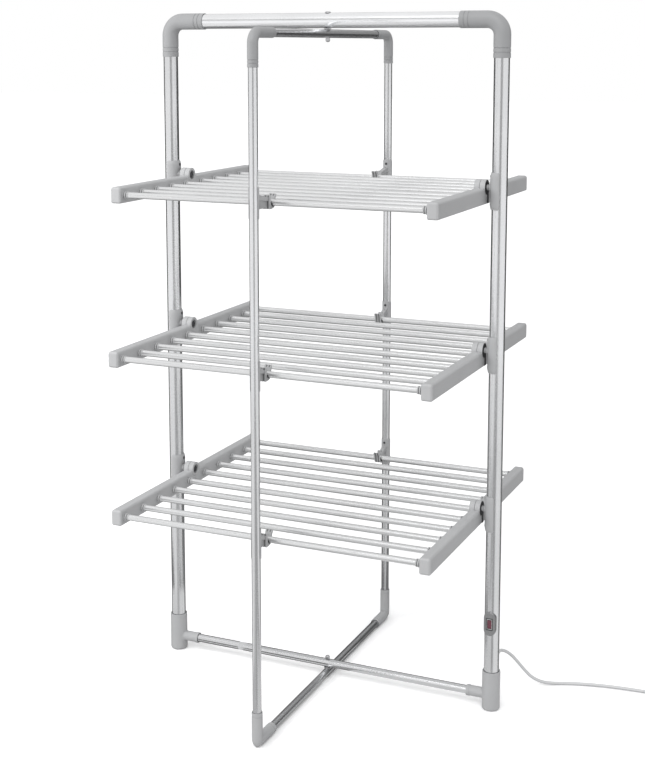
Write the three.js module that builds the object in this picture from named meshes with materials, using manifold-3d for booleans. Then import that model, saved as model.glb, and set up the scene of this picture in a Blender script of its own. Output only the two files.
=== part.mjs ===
// Heated clothes airer: a wide tube frame with a narrower frame hinged across it,
// three tiers of heated bars that fold up, a rocker switch and a mains cord.
// Millimetres, +Z up, origin on the floor below the hinge line of the two frames.
// X runs along the drying bars, -Y is the front, and the wide frame stands in the XZ plane.
import * as THREE from "three";
import { mergeVertices } from "three/addons/utils/BufferGeometryUtils.js";
import Module from "manifold-3d";

const wasm = await Module();
wasm.setup();

// Clearances and modelling counts
const FIT = 0.3;
const OVERRUN = 5;
const WELD = 0.001;
const WIDE_SIDES = 16;
const THIN_SIDES = 12;
const BAR_SIDES = 8;
const WIRE_SIDES = 6;
const BEND_STEPS = 6;
const NARROW_BEND_STEPS = 4;
const WIRE_BEND_STEPS = 1;

// Wide frame
const HEIGHT = 1380;
const WIDE_SPACING = 714;
const WIDE_TUBE = 30;
const WIDE_WALL = 1.2;
const WIDE_ELBOW = 33;
const WIDE_ELBOW_BEND = 29;
const WIDE_ELBOW_DROP = 72;
const WIDE_ELBOW_REACH = 82;
const TUBE_STOP = 2;
const FOOT_SLEEVE = 36;
const FOOT_HEIGHT = 80;
const FOOT_FLOOR = 12;
const FOOT_ROUND = 5;
const FOOT_ARM = 22.5;
const FOOT_ARM_REACH = 32;
const FOOT_ARM_HEIGHT = 29.5;
const FOOT_SOCKET = 28;

// Narrow frame, which turns about the hinge line
const NARROW_SPACING = 660;
const NARROW_TUBE = 17;
const NARROW_WALL = 1;
const NARROW_ELBOW = 20;
const NARROW_ELBOW_BEND = 20;
const NARROW_ELBOW_DROP = 62;
const NARROW_ELBOW_REACH = 78;
const NARROW_FOOT = 21;
const NARROW_FOOT_BEND = 13;
const NARROW_FOOT_RISE = 60;
const NARROW_FOOT_REACH = 62;
const NARROW_FOOT_FLAT = 0.5;
const FRAME_GAP = 2;

// Pivot bolts of the two frames
const PIVOT_SHANK = 6;
const PIVOT_HEAD = 12;
const PIVOT_HEAD_HEIGHT = 2.4;
const PIVOT_NUT = 10;
const PIVOT_NUT_HEIGHT = 5;
const PIVOT_DOME_HEIGHT = 3;
const PIVOT_WASHER = 14;

// Shelves: three tiers, each of two halves of five bars
const TIER_LOW = 395;
const TOP_TIER_DROP = 350;
const BAR = 12;
const BAR_WALL = 1;
const BARS_PER_HALF = 5;
const CENTRE_GAP = 68;
const RAIL_TO_UPRIGHT = 10;
const RAIL_WIDTH = 22;
const RAIL_HEIGHT = 31.5;
const RAIL_WALL = 2.2;
const RAIL_TOP_ROUND = 5;
const RAIL_BOTTOM_ROUND = 3.5;
const RAIL_END_ROUND = 2.5;
const RAIL_PAST_BAR = 16;
const RAIL_HUB_GAP = 1;
const COLLAR = 16;
const COLLAR_LENGTH = 12;
const BAR_TAIL = 1.5;

// Hubs, where the two halves of a tier turn on one bolt at each side
const HUB = 26;
const HUB_CLEAR = 0.9;
const HUB_LAP_GAP = 0.6;
const HUB_SWEEP_GAP = 0.8;
const HUB_RECESS = 18;
const HUB_RECESS_DEPTH = 5.5;
const HUB_BOLT = 8;
const HUB_BOLT_HEAD = 14;
const HUB_BOLT_HEAD_HEIGHT = 4.4;
const HUB_SOLID = 20;
const DUCT = 5;

// Saddles on the wide uprights
const SADDLE_WALL = 3;
const SADDLE_STEPS_EACH_WAY = 3;
const SADDLE_ABOVE = 29;
const SADDLE_BELOW = 42;
const SADDLE_BOSS = 16;
const SADDLE_BOLT_FLOOR = 1.6;

// Catches on the narrow uprights: their reach sets where the outermost bars lie
const CATCH_REACH = 43;
const TOP_CATCH_REACH = 64;
const CATCH_SLEEVE = 20;
const CATCH_ABOVE = 34;
const CATCH_BELOW = 24;
const CATCH_WIDTH = 12;
const CATCH_CRADLE_WALL = 2.6;
const CATCH_CRADLE_FIT = 0.5;
const CATCH_ARM_BELOW = 7;
const CATCH_ARM_ABOVE = 14;
const CATCH_HORN = 9;
const CATCH_HORN_LEAN = 1;
const CATCH_LIP = 7;
const CATCH_LIP_FLARE = 4;
const CATCH_SCREW = 5;
const CATCH_SCREW_DROP = 12;
const CATCH_SCREW_DEPTH = 0.8;

// Heating wire, one serpentine in each half
const WIRE = 3;
const WIRE_SEAT = 0.5;
const WIRE_BEND = 5;
const WIRE_RETURN_SHIFT = 4;

// Switch
const SWITCH_HEIGHT = 183;
const BEZEL_WIDTH = 24;
const BEZEL_LENGTH = 49;
const BEZEL_STAND = 4.5;
const BEZEL_SKIRT = 7;
const BEZEL_ROUND = 1.5;
const SWITCH_BODY_WIDTH = 13;
const SWITCH_BODY_LENGTH = 30;
const SWITCH_BODY_DEPTH = 16;
const FRAME_RECESS_WIDTH = 14;
const FRAME_RECESS_LENGTH = 25;
const FRAME_RECESS_DEPTH = 1.2;
const ROCKER_WIDTH = 8.4;
const ROCKER_LENGTH = 17;
const ROCKER_THICKNESS = 5;
const ROCKER_DISH = 1;
const ROCKER_TILT = THREE.MathUtils.degToRad(7);
const ROCKER_END_GAP = 0.8;
const ROCKER_UNDER_GAP = 1.6;

// Cord, with its strain relief and plug
const CORD = 6.5;
const CORD_SIDES = 8;
const CORD_STEP_SHARE = 2.8;
const CORD_HEIGHT = 98;
const BOOT_FLANGE = 14;
const BOOT_FLANGE_HEIGHT = 3;
const BOOT_LENGTH = 27;
const BOOT_ROOT = 11;
const BOOT_TIP = 8;
const BOOT_NECK = 9;
const BOOT_INSIDE = 3;
const COIL_RADIUS = 46;
const COIL_PITCH = 7.4;
const COIL_LAYER = 7.2;
const COIL_TURNS_IN = 2;
const COIL_TURNS_OUT = 1.75;
const COIL_STEPS = 24;
const COIL_SIDES = 6;
const COIL_TAIL = 34;
const PLUG_RELIEF_LENGTH = 30;
const PLUG_RELIEF_ROOT = 12;
const PLUG_WIDTH = 34;
const PLUG_LENGTH = 38;
const PLUG_ROUND = 8;
const PLUG_EDGE = 2;
const PLUG_PIN = 4.8;
const PLUG_PIN_LENGTH = 19;
const PLUG_PIN_SPACING = 19;

// Centre line of the free cord, from the tip of its strain relief to the start of its coil,
// as offsets from the wide upright in X, from the tip in Y, and heights above the floor.
const CORD_ROUTE = [
  [0, 0, 98],
  [0, 10, 97.8],
  [2, 21, 96],
  [7, 33, 90],
  [15, 45, 79],
  [25, 57, 62],
  [36, 69, 42],
  [49, 81, 23],
  [66, 94, 10],
  [88, 108, 4.2],
  [116, 121, 3.35],
  [155, 133, 3.35],
  [200, 142, 3.35],
  [250, 147, 3.35],
  [295, 149, 3.35],
  [323, 149, 3.35],
];

// Places worked out from the sizes
const wideX = WIDE_SPACING / 2;
const topBarZ = HEIGHT - WIDE_ELBOW / 2;
const narrowY = NARROW_SPACING / 2;
const narrowTopZ = topBarZ - WIDE_TUBE / 2 - FRAME_GAP - NARROW_TUBE / 2;
const narrowBottomZ = NARROW_FOOT / 2 - NARROW_FOOT_FLAT;
const railOuterX = wideX - WIDE_TUBE / 2 - RAIL_TO_UPRIGHT;
const railInnerX = railOuterX - RAIL_WIDTH;
const railX = (railInnerX + railOuterX) / 2;
const hubAboveBar = RAIL_HEIGHT / 2 + HUB_CLEAR;
const firstBarY = CENTRE_GAP / 2;
const topTierZ = HEIGHT - TOP_TIER_DROP;
const tiers = [
  { name: "lower", z: TIER_LOW, reach: CATCH_REACH },
  { name: "middle", z: (TIER_LOW + topTierZ) / 2, reach: CATCH_REACH },
  { name: "upper", z: topTierZ, reach: TOP_CATCH_REACH },
];
for (const tier of tiers) {
  tier.pitch = (narrowY - tier.reach - firstBarY) / (BARS_PER_HALF - 1);
}
const lastBarY = (pitch) => firstBarY + (BARS_PER_HALF - 1) * pitch;

// Materials
const finish = (color, roughness, metalness) => ({ color, roughness, metalness });
const ALUMINIUM = finish(0xb9babc, 0.38, 0.85);
const GREY_PLASTIC = finish(0xa9abac, 0.55, 0);
const RAIL_PLASTIC = finish(0xb7b9ba, 0.5, 0);
const BAR_PAINT = finish(0xd9dadb, 0.4, 0.1);
const STEEL = finish(0x8d8f92, 0.35, 0.9);
const DARK_PLASTIC = finish(0x4a4c4f, 0.45, 0);
const RED_PLASTIC = finish(0xb4241c, 0.25, 0);
const WIRE_SLEEVE = finish(0xd8d2c4, 0.6, 0);
const CORD_JACKET = finish(0xdadbdc, 0.55, 0);

// Solids and their booleans
function solid(geometry) {
  const bare = geometry.clone();
  bare.deleteAttribute("normal");
  bare.deleteAttribute("uv");
  const welded = mergeVertices(bare, WELD);
  return new wasm.Manifold(
    new wasm.Mesh({
      numProp: 3,
      vertProperties: new Float32Array(welded.attributes.position.array),
      triVerts: new Uint32Array(welded.index.array),
    }),
  );
}

function geometryOf(body) {
  const mesh = body.getMesh();
  const geometry = new THREE.BufferGeometry();
  geometry.setAttribute("position", new THREE.BufferAttribute(mesh.vertProperties, 3));
  geometry.setIndex(new THREE.BufferAttribute(mesh.triVerts, 1));
  geometry.computeVertexNormals();
  return geometry;
}

// Axis-aligned pieces, given by their limits
function block([x0, x1], [y0, y1], [z0, z1]) {
  const geometry = new THREE.BoxGeometry(x1 - x0, y1 - y0, z1 - z0);
  geometry.translate((x0 + x1) / 2, (y0 + y1) / 2, (z0 + z1) / 2);
  return solid(geometry);
}

function cylinderX(diameter, x0, x1, y, z, sides) {
  const geometry = new THREE.CylinderGeometry(diameter / 2, diameter / 2, x1 - x0, sides);
  geometry.rotateZ(-Math.PI / 2);
  geometry.translate((x0 + x1) / 2, y, z);
  return solid(geometry);
}

function cylinderY(diameter, y0, y1, x, z, sides) {
  const geometry = new THREE.CylinderGeometry(diameter / 2, diameter / 2, y1 - y0, sides);
  geometry.translate(x, (y0 + y1) / 2, z);
  return solid(geometry);
}

function cylinderZ(diameter, z0, z1, x, y, sides) {
  const geometry = new THREE.CylinderGeometry(diameter / 2, diameter / 2, z1 - z0, sides);
  geometry.rotateX(Math.PI / 2);
  geometry.translate(x, y, (z0 + z1) / 2);
  return solid(geometry);
}

// A revolved profile of [radius, height] points standing on +Z
function turnedZ(profile, x, y, sides) {
  const points = profile.map(([radius, height]) => new THREE.Vector2(radius, height));
  const geometry = new THREE.LatheGeometry(points, sides);
  geometry.rotateX(Math.PI / 2);
  geometry.translate(x, y, 0);
  return solid(geometry);
}

// A revolved profile of [radius, place along Y] points
function turnedY(profile, x, z, sides) {
  const points = profile.map(([radius, along]) => new THREE.Vector2(radius, along));
  const geometry = new THREE.LatheGeometry(points, sides);
  geometry.translate(x, 0, z);
  return solid(geometry);
}

// An outline in X and Z, extruded between two places along Y
function extrudedY(shape, y0, y1, options = {}) {
  const round = options.bevelThickness ?? 0;
  const settings = { bevelEnabled: false, ...options, depth: y1 - y0 - 2 * round };
  const geometry = new THREE.ExtrudeGeometry(shape, settings);
  geometry.rotateX(Math.PI / 2);
  geometry.translate(0, y1 - round, 0);
  return solid(geometry);
}

// An outline in Y and Z, extruded between two places along X
function extrudedX(shape, x0, x1) {
  const geometry = new THREE.ExtrudeGeometry(shape, { depth: x1 - x0, bevelEnabled: false });
  geometry.rotateX(Math.PI / 2);
  geometry.rotateZ(Math.PI / 2);
  geometry.translate(x0, 0, 0);
  return solid(geometry);
}

// A centre line made of straight runs and round bends, with a ring at each of its points
class Route extends THREE.Curve {
  constructor(points, tangents) {
    super();
    this.points = points;
    this.tangents = tangents;
  }

  getPointAt(share) {
    return this.points[Math.round(share * (this.points.length - 1))].clone();
  }

  getTangentAt(share) {
    return this.tangents[Math.round(share * (this.points.length - 1))].clone();
  }

  length() {
    const steps = this.points.slice(1).map((point, i) => point.distanceTo(this.points[i]));
    return steps.reduce((sum, step) => sum + step, 0);
  }
}

function routeThrough(corners, bend, bendSteps) {
  const points = [corners[0].clone()];
  const tangents = [corners[1].clone().sub(corners[0]).normalize()];
  for (let i = 1; i < corners.length - 1; i += 1) {
    const before = corners[i].clone().sub(corners[i - 1]).normalize();
    const after = corners[i + 1].clone().sub(corners[i]).normalize();
    const turn = before.angleTo(after);
    const setBack = bend * Math.tan(turn / 2);
    const start = corners[i].clone().addScaledVector(before, -setBack);
    const towards = after.clone().addScaledVector(before, -after.dot(before)).normalize();
    const centre = start.clone().addScaledVector(towards, bend);
    for (let step = 0; step <= bendSteps; step += 1) {
      const angle = (turn * step) / bendSteps;
      const point = centre.clone().addScaledVector(before, bend * Math.sin(angle));
      points.push(point.addScaledVector(towards, -bend * Math.cos(angle)));
      const tangent = before.clone().multiplyScalar(Math.cos(angle));
      tangents.push(tangent.addScaledVector(towards, Math.sin(angle)));
    }
  }
  points.push(corners.at(-1).clone());
  tangents.push(corners.at(-1).clone().sub(corners.at(-2)).normalize());
  return new Route(points, tangents);
}

function routeOfPoints(points) {
  const last = points.length - 1;
  const tangents = points.map((point, i) => {
    const next = points[Math.min(i + 1, last)];
    const previous = points[Math.max(i - 1, 0)];
    return next.clone().sub(previous).normalize();
  });
  return new Route(points, tangents);
}

function rodAlong(route, diameter, sides) {
  const section = new THREE.Shape();
  const corner = (i) => (2 * Math.PI * i) / sides;
  section.moveTo(diameter / 2, 0);
  for (let i = 1; i < sides; i += 1) {
    section.lineTo((diameter / 2) * Math.cos(corner(i)), (diameter / 2) * Math.sin(corner(i)));
  }
  section.closePath();
  const settings = { steps: route.points.length - 1, extrudePath: route, bevelEnabled: false };
  return solid(new THREE.ExtrudeGeometry(section, settings));
}

const at = (x, y, z) => new THREE.Vector3(x, y, z);

// The finished object
const airer = new THREE.Group();

function add(name, body, look, parent = airer) {
  const mesh = new THREE.Mesh(geometryOf(body), new THREE.MeshStandardMaterial(look));
  mesh.name = name;
  parent.add(mesh);
  return mesh;
}

function turnedAbout(z, parent = airer) {
  const group = new THREE.Group();
  group.rotation.z = Math.PI;
  group.position.z = z;
  parent.add(group);
  return group;
}

const oppositeSide = turnedAbout(0);

// Wide frame: uprights, bars, elbows and T-shaped feet
function wideUpright() {
  const z0 = FOOT_FLOOR + FIT;
  const z1 = topBarZ - WIDE_ELBOW_BEND - TUBE_STOP;
  const bore = WIDE_TUBE - 2 * WIDE_WALL;
  const outside = cylinderZ(WIDE_TUBE, z0, z1, wideX, 0, WIDE_SIDES);
  return outside.subtract(cylinderZ(bore, z0 - OVERRUN, z1 + OVERRUN, wideX, 0, WIDE_SIDES));
}

function rightUpright() {
  const halfWidth = SWITCH_BODY_WIDTH / 2 + FIT;
  const halfLength = SWITCH_BODY_LENGTH / 2 + FIT;
  const window = block(
    [wideX - halfWidth, wideX + halfWidth],
    [-WIDE_TUBE / 2 - OVERRUN, 0],
    [SWITCH_HEIGHT - halfLength, SWITCH_HEIGHT + halfLength],
  );
  const cordHole = cylinderY(
    BOOT_NECK + 2 * FIT, 0, WIDE_TUBE / 2 + OVERRUN, wideX, CORD_HEIGHT, THIN_SIDES,
  );
  return wideUpright().subtract(window).subtract(cordHole);
}

function hollowBarX(diameter, wall, halfLength, z, sides) {
  const outside = cylinderX(diameter, -halfLength, halfLength, 0, z, sides);
  const reach = halfLength + OVERRUN;
  return outside.subtract(cylinderX(diameter - 2 * wall, -reach, reach, 0, z, sides));
}

function pivotHole(z0, z1) {
  return cylinderZ(PIVOT_SHANK + 2 * FIT, z0, z1, 0, 0, THIN_SIDES);
}

function wideTopBar() {
  const halfLength = wideX - WIDE_ELBOW_BEND - TUBE_STOP;
  const bar = hollowBarX(WIDE_TUBE, WIDE_WALL, halfLength, topBarZ, WIDE_SIDES);
  return bar.subtract(pivotHole(topBarZ - WIDE_TUBE, topBarZ + WIDE_TUBE));
}

function wideBottomBar() {
  const armEnd = wideX - FOOT_SLEEVE / 2 - FOOT_ARM_REACH;
  const halfLength = armEnd + FOOT_SOCKET - FIT;
  const bar = hollowBarX(NARROW_TUBE, NARROW_WALL, halfLength, FOOT_ARM_HEIGHT, THIN_SIDES);
  return bar.subtract(pivotHole(FOOT_ARM_HEIGHT - NARROW_TUBE, FOOT_ARM_HEIGHT + NARROW_TUBE));
}

function wideElbow() {
  const z0 = topBarZ - WIDE_ELBOW_DROP;
  const x0 = wideX - WIDE_ELBOW_REACH;
  const corners = [at(wideX, 0, z0), at(wideX, 0, topBarZ), at(x0, 0, topBarZ)];
  const body = rodAlong(routeThrough(corners, WIDE_ELBOW_BEND, BEND_STEPS), WIDE_ELBOW, WIDE_SIDES);
  const bore = WIDE_TUBE + 2 * FIT;
  const socketTop = topBarZ - WIDE_ELBOW_BEND - TUBE_STOP + FIT;
  const socketEnd = wideX - WIDE_ELBOW_BEND - TUBE_STOP + FIT;
  return body
    .subtract(cylinderZ(bore, z0 - OVERRUN, socketTop, wideX, 0, WIDE_SIDES))
    .subtract(cylinderX(bore, x0 - OVERRUN, socketEnd, 0, topBarZ, WIDE_SIDES));
}

function wideFoot() {
  const radius = FOOT_SLEEVE / 2;
  const round = FOOT_ROUND;
  const sleeve = turnedZ(
    [
      [0, 0],
      [radius - round, 0],
      [radius - round * (1 - Math.SQRT1_2), round * (1 - Math.SQRT1_2)],
      [radius, round],
      [radius, FOOT_HEIGHT - round / 3],
      [radius - round / 3, FOOT_HEIGHT],
      [0, FOOT_HEIGHT],
    ],
    wideX, 0, WIDE_SIDES,
  );
  const armEnd = wideX - radius - FOOT_ARM_REACH;
  const arm = cylinderX(FOOT_ARM, armEnd, wideX, 0, FOOT_ARM_HEIGHT, THIN_SIDES);
  const tubeBore = WIDE_TUBE + 2 * FIT;
  const barBore = NARROW_TUBE + 2 * FIT;
  const socket = cylinderZ(tubeBore, FOOT_FLOOR, FOOT_HEIGHT + OVERRUN, wideX, 0, WIDE_SIDES);
  const armSocket = cylinderX(
    barBore, armEnd - OVERRUN, armEnd + FOOT_SOCKET, 0, FOOT_ARM_HEIGHT, THIN_SIDES,
  );
  return sleeve.add(arm).subtract(socket).subtract(armSocket);
}

add("right_upright", rightUpright(), ALUMINIUM);
add("left_upright", wideUpright(), ALUMINIUM, oppositeSide);
add("wide_top_bar", wideTopBar(), ALUMINIUM);
add("wide_bottom_bar", wideBottomBar(), ALUMINIUM);
add("right_elbow", wideElbow(), GREY_PLASTIC);
add("left_elbow", wideElbow(), GREY_PLASTIC, oppositeSide);
add("right_foot", wideFoot(), GREY_PLASTIC);
add("left_foot", wideFoot(), GREY_PLASTIC, oppositeSide);

// Narrow frame: modelled for the back, and turned half round for the front
function narrowUpright() {
  const z0 = narrowBottomZ + NARROW_FOOT_BEND + TUBE_STOP;
  const z1 = narrowTopZ - NARROW_ELBOW_BEND - TUBE_STOP;
  const bore = NARROW_TUBE - 2 * NARROW_WALL;
  const outside = cylinderZ(NARROW_TUBE, z0, z1, 0, narrowY, THIN_SIDES);
  return outside.subtract(cylinderZ(bore, z0 - OVERRUN, z1 + OVERRUN, 0, narrowY, THIN_SIDES));
}

function narrowBar(z, endY) {
  const bore = NARROW_TUBE - 2 * NARROW_WALL;
  const outside = cylinderY(NARROW_TUBE, -endY, endY, 0, z, THIN_SIDES);
  const inside = cylinderY(bore, -endY - OVERRUN, endY + OVERRUN, 0, z, THIN_SIDES);
  return outside.subtract(inside).subtract(pivotHole(z - NARROW_TUBE, z + NARROW_TUBE));
}

function narrowCorner(diameter, bend, upEnd, barZ, reach) {
  const y0 = narrowY - reach;
  const away = Math.sign(upEnd - barZ);
  const corners = [at(0, narrowY, upEnd), at(0, narrowY, barZ), at(0, y0, barZ)];
  const body = rodAlong(routeThrough(corners, bend, NARROW_BEND_STEPS), diameter, THIN_SIDES);
  const bore = NARROW_TUBE + 2 * FIT;
  const socket = barZ + away * (bend + TUBE_STOP - FIT);
  const mouth = upEnd + away * OVERRUN;
  return body
    .subtract(cylinderZ(bore, Math.min(socket, mouth), Math.max(socket, mouth), 0, narrowY, THIN_SIDES))
    .subtract(cylinderY(bore, y0 - OVERRUN, narrowY - bend - TUBE_STOP + FIT, 0, barZ, THIN_SIDES));
}

const narrowElbow = () =>
  narrowCorner(
    NARROW_ELBOW, NARROW_ELBOW_BEND, narrowTopZ - NARROW_ELBOW_DROP, narrowTopZ, NARROW_ELBOW_REACH,
  );

function narrowFoot() {
  const corner = narrowCorner(
    NARROW_FOOT, NARROW_FOOT_BEND, narrowBottomZ + NARROW_FOOT_RISE, narrowBottomZ, NARROW_FOOT_REACH,
  );
  const below = block([-NARROW_FOOT, NARROW_FOOT], [0, 2 * narrowY], [-NARROW_FOOT, 0]);
  return corner.subtract(below);
}

add("narrow_top_bar", narrowBar(narrowTopZ, narrowY - NARROW_ELBOW_BEND - TUBE_STOP), ALUMINIUM);
add("narrow_bottom_bar", narrowBar(narrowBottomZ, narrowY - NARROW_FOOT_BEND - TUBE_STOP), ALUMINIUM);
for (const [place, parent] of [["back", airer], ["front", oppositeSide]]) {
  add(`${place}_upright`, narrowUpright(), ALUMINIUM, parent);
  add(`${place}_elbow`, narrowElbow(), GREY_PLASTIC, parent);
  add(`${place}_foot`, narrowFoot(), GREY_PLASTIC, parent);
}

// Pivot bolts through the two frames, each with its washer and domed nut
function topPivot() {
  const gap = FIT;
  const head = topBarZ + WIDE_TUBE / 2 + gap;
  const washerTop = topBarZ - WIDE_TUBE / 2 - gap;
  const washerBottom = narrowTopZ + NARROW_TUBE / 2 + gap;
  const nut = narrowTopZ - NARROW_TUBE / 2 - gap;
  const radius = PIVOT_SHANK / 2;
  const profile = [
    [0, nut - PIVOT_NUT_HEIGHT - PIVOT_DOME_HEIGHT],
    [PIVOT_NUT / 4, nut - PIVOT_NUT_HEIGHT - PIVOT_DOME_HEIGHT * 0.8],
    [PIVOT_NUT / 2, nut - PIVOT_NUT_HEIGHT],
    [PIVOT_NUT / 2, nut],
    [radius, nut],
    [radius, washerBottom],
    [PIVOT_WASHER / 2, washerBottom],
    [PIVOT_WASHER / 2, washerTop],
    [radius, washerTop],
    [radius, head],
    [PIVOT_HEAD / 2, head],
    [PIVOT_HEAD / 3, head + PIVOT_HEAD_HEIGHT],
    [0, head + PIVOT_HEAD_HEIGHT],
  ];
  return turnedZ(profile, 0, 0, THIN_SIDES);
}

function bottomPivot() {
  const gap = FIT;
  const nut = FOOT_ARM_HEIGHT + NARROW_TUBE / 2 + gap;
  const washerTop = FOOT_ARM_HEIGHT - NARROW_TUBE / 2 - gap;
  const washerBottom = narrowBottomZ + NARROW_TUBE / 2 + gap;
  const radius = PIVOT_SHANK / 2;
  const profile = [
    [0, narrowBottomZ - NARROW_TUBE / 2],
    [radius, narrowBottomZ - NARROW_TUBE / 2],
    [radius, washerBottom],
    [PIVOT_WASHER / 2, washerBottom],
    [PIVOT_WASHER / 2, washerTop],
    [radius, washerTop],
    [radius, nut],
    [PIVOT_NUT / 2, nut],
    [PIVOT_NUT / 2, nut + PIVOT_NUT_HEIGHT],
    [PIVOT_NUT / 4, nut + PIVOT_NUT_HEIGHT + PIVOT_DOME_HEIGHT * 0.8],
    [0, nut + PIVOT_NUT_HEIGHT + PIVOT_DOME_HEIGHT],
  ];
  return turnedZ(profile, 0, 0, THIN_SIDES);
}

add("top_pivot_bolt", topPivot(), STEEL);
add("bottom_pivot_bolt", bottomPivot(), STEEL);

// Half a shelf, in a frame with its origin on the hub line: the bars run along X and lie at +Y.
// The left rail holds the bars, and the right rail is pushed over their free ends.
const barZ = -hubAboveBar;
const railTopZ = -HUB_CLEAR;
const railBottomZ = railTopZ - RAIL_HEIGHT;
const lane = {
  inner: [railInnerX, railX - HUB_LAP_GAP / 2],
  outer: [railX + HUB_LAP_GAP / 2, railOuterX],
};

function railOutline() {
  const x0 = railInnerX;
  const x1 = railOuterX;
  const top = RAIL_TOP_ROUND;
  const bottom = RAIL_BOTTOM_ROUND;
  const outline = new THREE.Shape();
  outline.moveTo(x0 + bottom, railBottomZ);
  outline.lineTo(x1 - bottom, railBottomZ);
  outline.absarc(x1 - bottom, railBottomZ + bottom, bottom, -Math.PI / 2, 0, false);
  outline.lineTo(x1, railTopZ - top);
  outline.absarc(x1 - top, railTopZ - top, top, 0, Math.PI / 2, false);
  outline.lineTo(x0 + top, railTopZ);
  outline.absarc(x0 + top, railTopZ - top, top, Math.PI / 2, Math.PI, false);
  outline.lineTo(x0, railBottomZ + bottom);
  outline.absarc(x0 + bottom, railBottomZ + bottom, bottom, Math.PI, 1.5 * Math.PI, false);
  return outline;
}

// The rail at +X with the knuckle in one lane of the hub
function rail(pitch, knuckle, keptClear) {
  const end = lastBarY(pitch) + RAIL_PAST_BAR;
  const rounds = {
    curveSegments: 1,
    bevelEnabled: true,
    bevelThickness: RAIL_END_ROUND,
    bevelSize: RAIL_END_ROUND,
    bevelOffset: -RAIL_END_ROUND,
    bevelSegments: 1,
  };
  const [x0, x1] = [railInnerX, railOuterX];
  let body = extrudedY(railOutline(), -RAIL_HUB_GAP - OVERRUN, end, rounds);
  const otherHalf = block(
    [x0 - OVERRUN, x1 + OVERRUN],
    [-end, RAIL_HUB_GAP / 2],
    [railBottomZ - OVERRUN, railTopZ + OVERRUN],
  );
  body = body.subtract(otherHalf);
  const sweep = HUB + 2 * HUB_SWEEP_GAP;
  const [clear0, clear1] = [keptClear[0] - HUB_LAP_GAP, keptClear[1] + HUB_LAP_GAP];
  body = body.subtract(cylinderX(sweep, clear0, clear1, 0, 0, THIN_SIDES));
  body = body.add(cylinderX(HUB, knuckle[0], knuckle[1], 0, 0, THIN_SIDES));
  const bolt = HUB_BOLT + 2 * FIT;
  body = body.subtract(cylinderX(bolt, x0 - OVERRUN, x1 + OVERRUN, 0, 0, THIN_SIDES));
  if (knuckle === lane.inner) {
    body = body.subtract(cylinderX(HUB_RECESS, x0 - OVERRUN, x0 + HUB_RECESS_DEPTH, 0, 0, THIN_SIDES));
  }
  const cavity = block(
    [x0 + RAIL_WALL, x1 - RAIL_WALL],
    [HUB_SOLID, end - RAIL_WALL],
    [railBottomZ + RAIL_WALL, railTopZ - RAIL_WALL],
  );
  const ductZ = barZ - (BAR / 2 - BAR_WALL - WIRE / 2 - WIRE_SEAT);
  const duct = block(
    [railX - DUCT / 2 + WIRE_RETURN_SHIFT / 2, railX + DUCT / 2 + WIRE_RETURN_SHIFT / 2],
    [0, HUB_SOLID + RAIL_WALL],
    [ductZ - DUCT / 2, ductZ + DUCT / 2],
  );
  return { body: body.subtract(duct), cavity };
}

function barPlaces(pitch) {
  return Array.from({ length: BARS_PER_HALF }, (_, i) => firstBarY + i * pitch);
}

function freeRail(pitch) {
  const { body, cavity } = rail(pitch, lane.outer, lane.inner);
  const x0 = railInnerX;
  let result = body;
  for (const y of barPlaces(pitch)) {
    result = result.add(cylinderX(COLLAR, x0 - COLLAR_LENGTH, x0 + RAIL_WALL, y, barZ, BAR_SIDES));
  }
  result = result.subtract(cavity);
  for (const y of barPlaces(pitch)) {
    const bore = BAR + 2 * FIT;
    const inner = x0 - COLLAR_LENGTH - OVERRUN;
    result = result.subtract(cylinderX(bore, inner, x0 + RAIL_WALL + OVERRUN, y, barZ, BAR_SIDES));
  }
  return result;
}

function mirroredX(body) {
  const geometry = geometryOf(body);
  geometry.scale(-1, 1, 1);
  const turned = geometry.index.array;
  for (let i = 0; i < turned.length; i += 3) {
    [turned[i], turned[i + 1]] = [turned[i + 1], turned[i]];
  }
  return solid(geometry);
}

function barsAndRail(pitch) {
  const { body, cavity } = rail(pitch, lane.inner, lane.outer);
  const x0 = -railInnerX;
  const x1 = railInnerX + RAIL_WALL + BAR_TAIL;
  let result = mirroredX(body);
  for (const y of barPlaces(pitch)) {
    result = result
      .add(cylinderX(COLLAR, x0 - RAIL_WALL, x0 + COLLAR_LENGTH, y, barZ, BAR_SIDES))
      .add(cylinderX(BAR, x0 - RAIL_WALL, x1, y, barZ, BAR_SIDES));
  }
  result = result.subtract(mirroredX(cavity));
  for (const y of barPlaces(pitch)) {
    const bore = BAR - 2 * BAR_WALL;
    result = result.subtract(
      cylinderX(bore, x0 - RAIL_WALL - OVERRUN, x1 + OVERRUN, y, barZ, BAR_SIDES),
    );
  }
  return result;
}

function heatingWire(pitch) {
  const z = barZ - (BAR / 2 - BAR_WALL - WIRE / 2 - WIRE_SEAT);
  const turnX = railX - WIRE_RETURN_SHIFT / 2;
  const returnX = railX + WIRE_RETURN_SHIFT / 2;
  const corners = [at(-returnX, RAIL_HUB_GAP, z)];
  let side = -1;
  barPlaces(pitch).forEach((y, i) => {
    const arriving = i === 0 ? -returnX : side * turnX;
    corners.push(at(arriving, y, z));
    side = -side;
    corners.push(at(side * (i === BARS_PER_HALF - 1 ? returnX : turnX), y, z));
  });
  corners.push(at(returnX, RAIL_HUB_GAP, z));
  return rodAlong(routeThrough(corners, WIRE_BEND, WIRE_BEND_STEPS), WIRE, WIRE_SIDES);
}

// The hub bolt at +X, turned half round for -X
function hubBolt() {
  const seat = railInnerX + HUB_RECESS_DEPTH - FIT;
  const end = wideX - WIDE_TUBE / 2 - FIT - SADDLE_BOLT_FLOOR - FIT;
  const head = cylinderX(HUB_BOLT_HEAD, seat - HUB_BOLT_HEAD_HEIGHT, seat, 0, 0, WIRE_SIDES);
  return head.add(cylinderX(HUB_BOLT, seat - FIT, end, 0, 0, THIN_SIDES));
}

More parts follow.
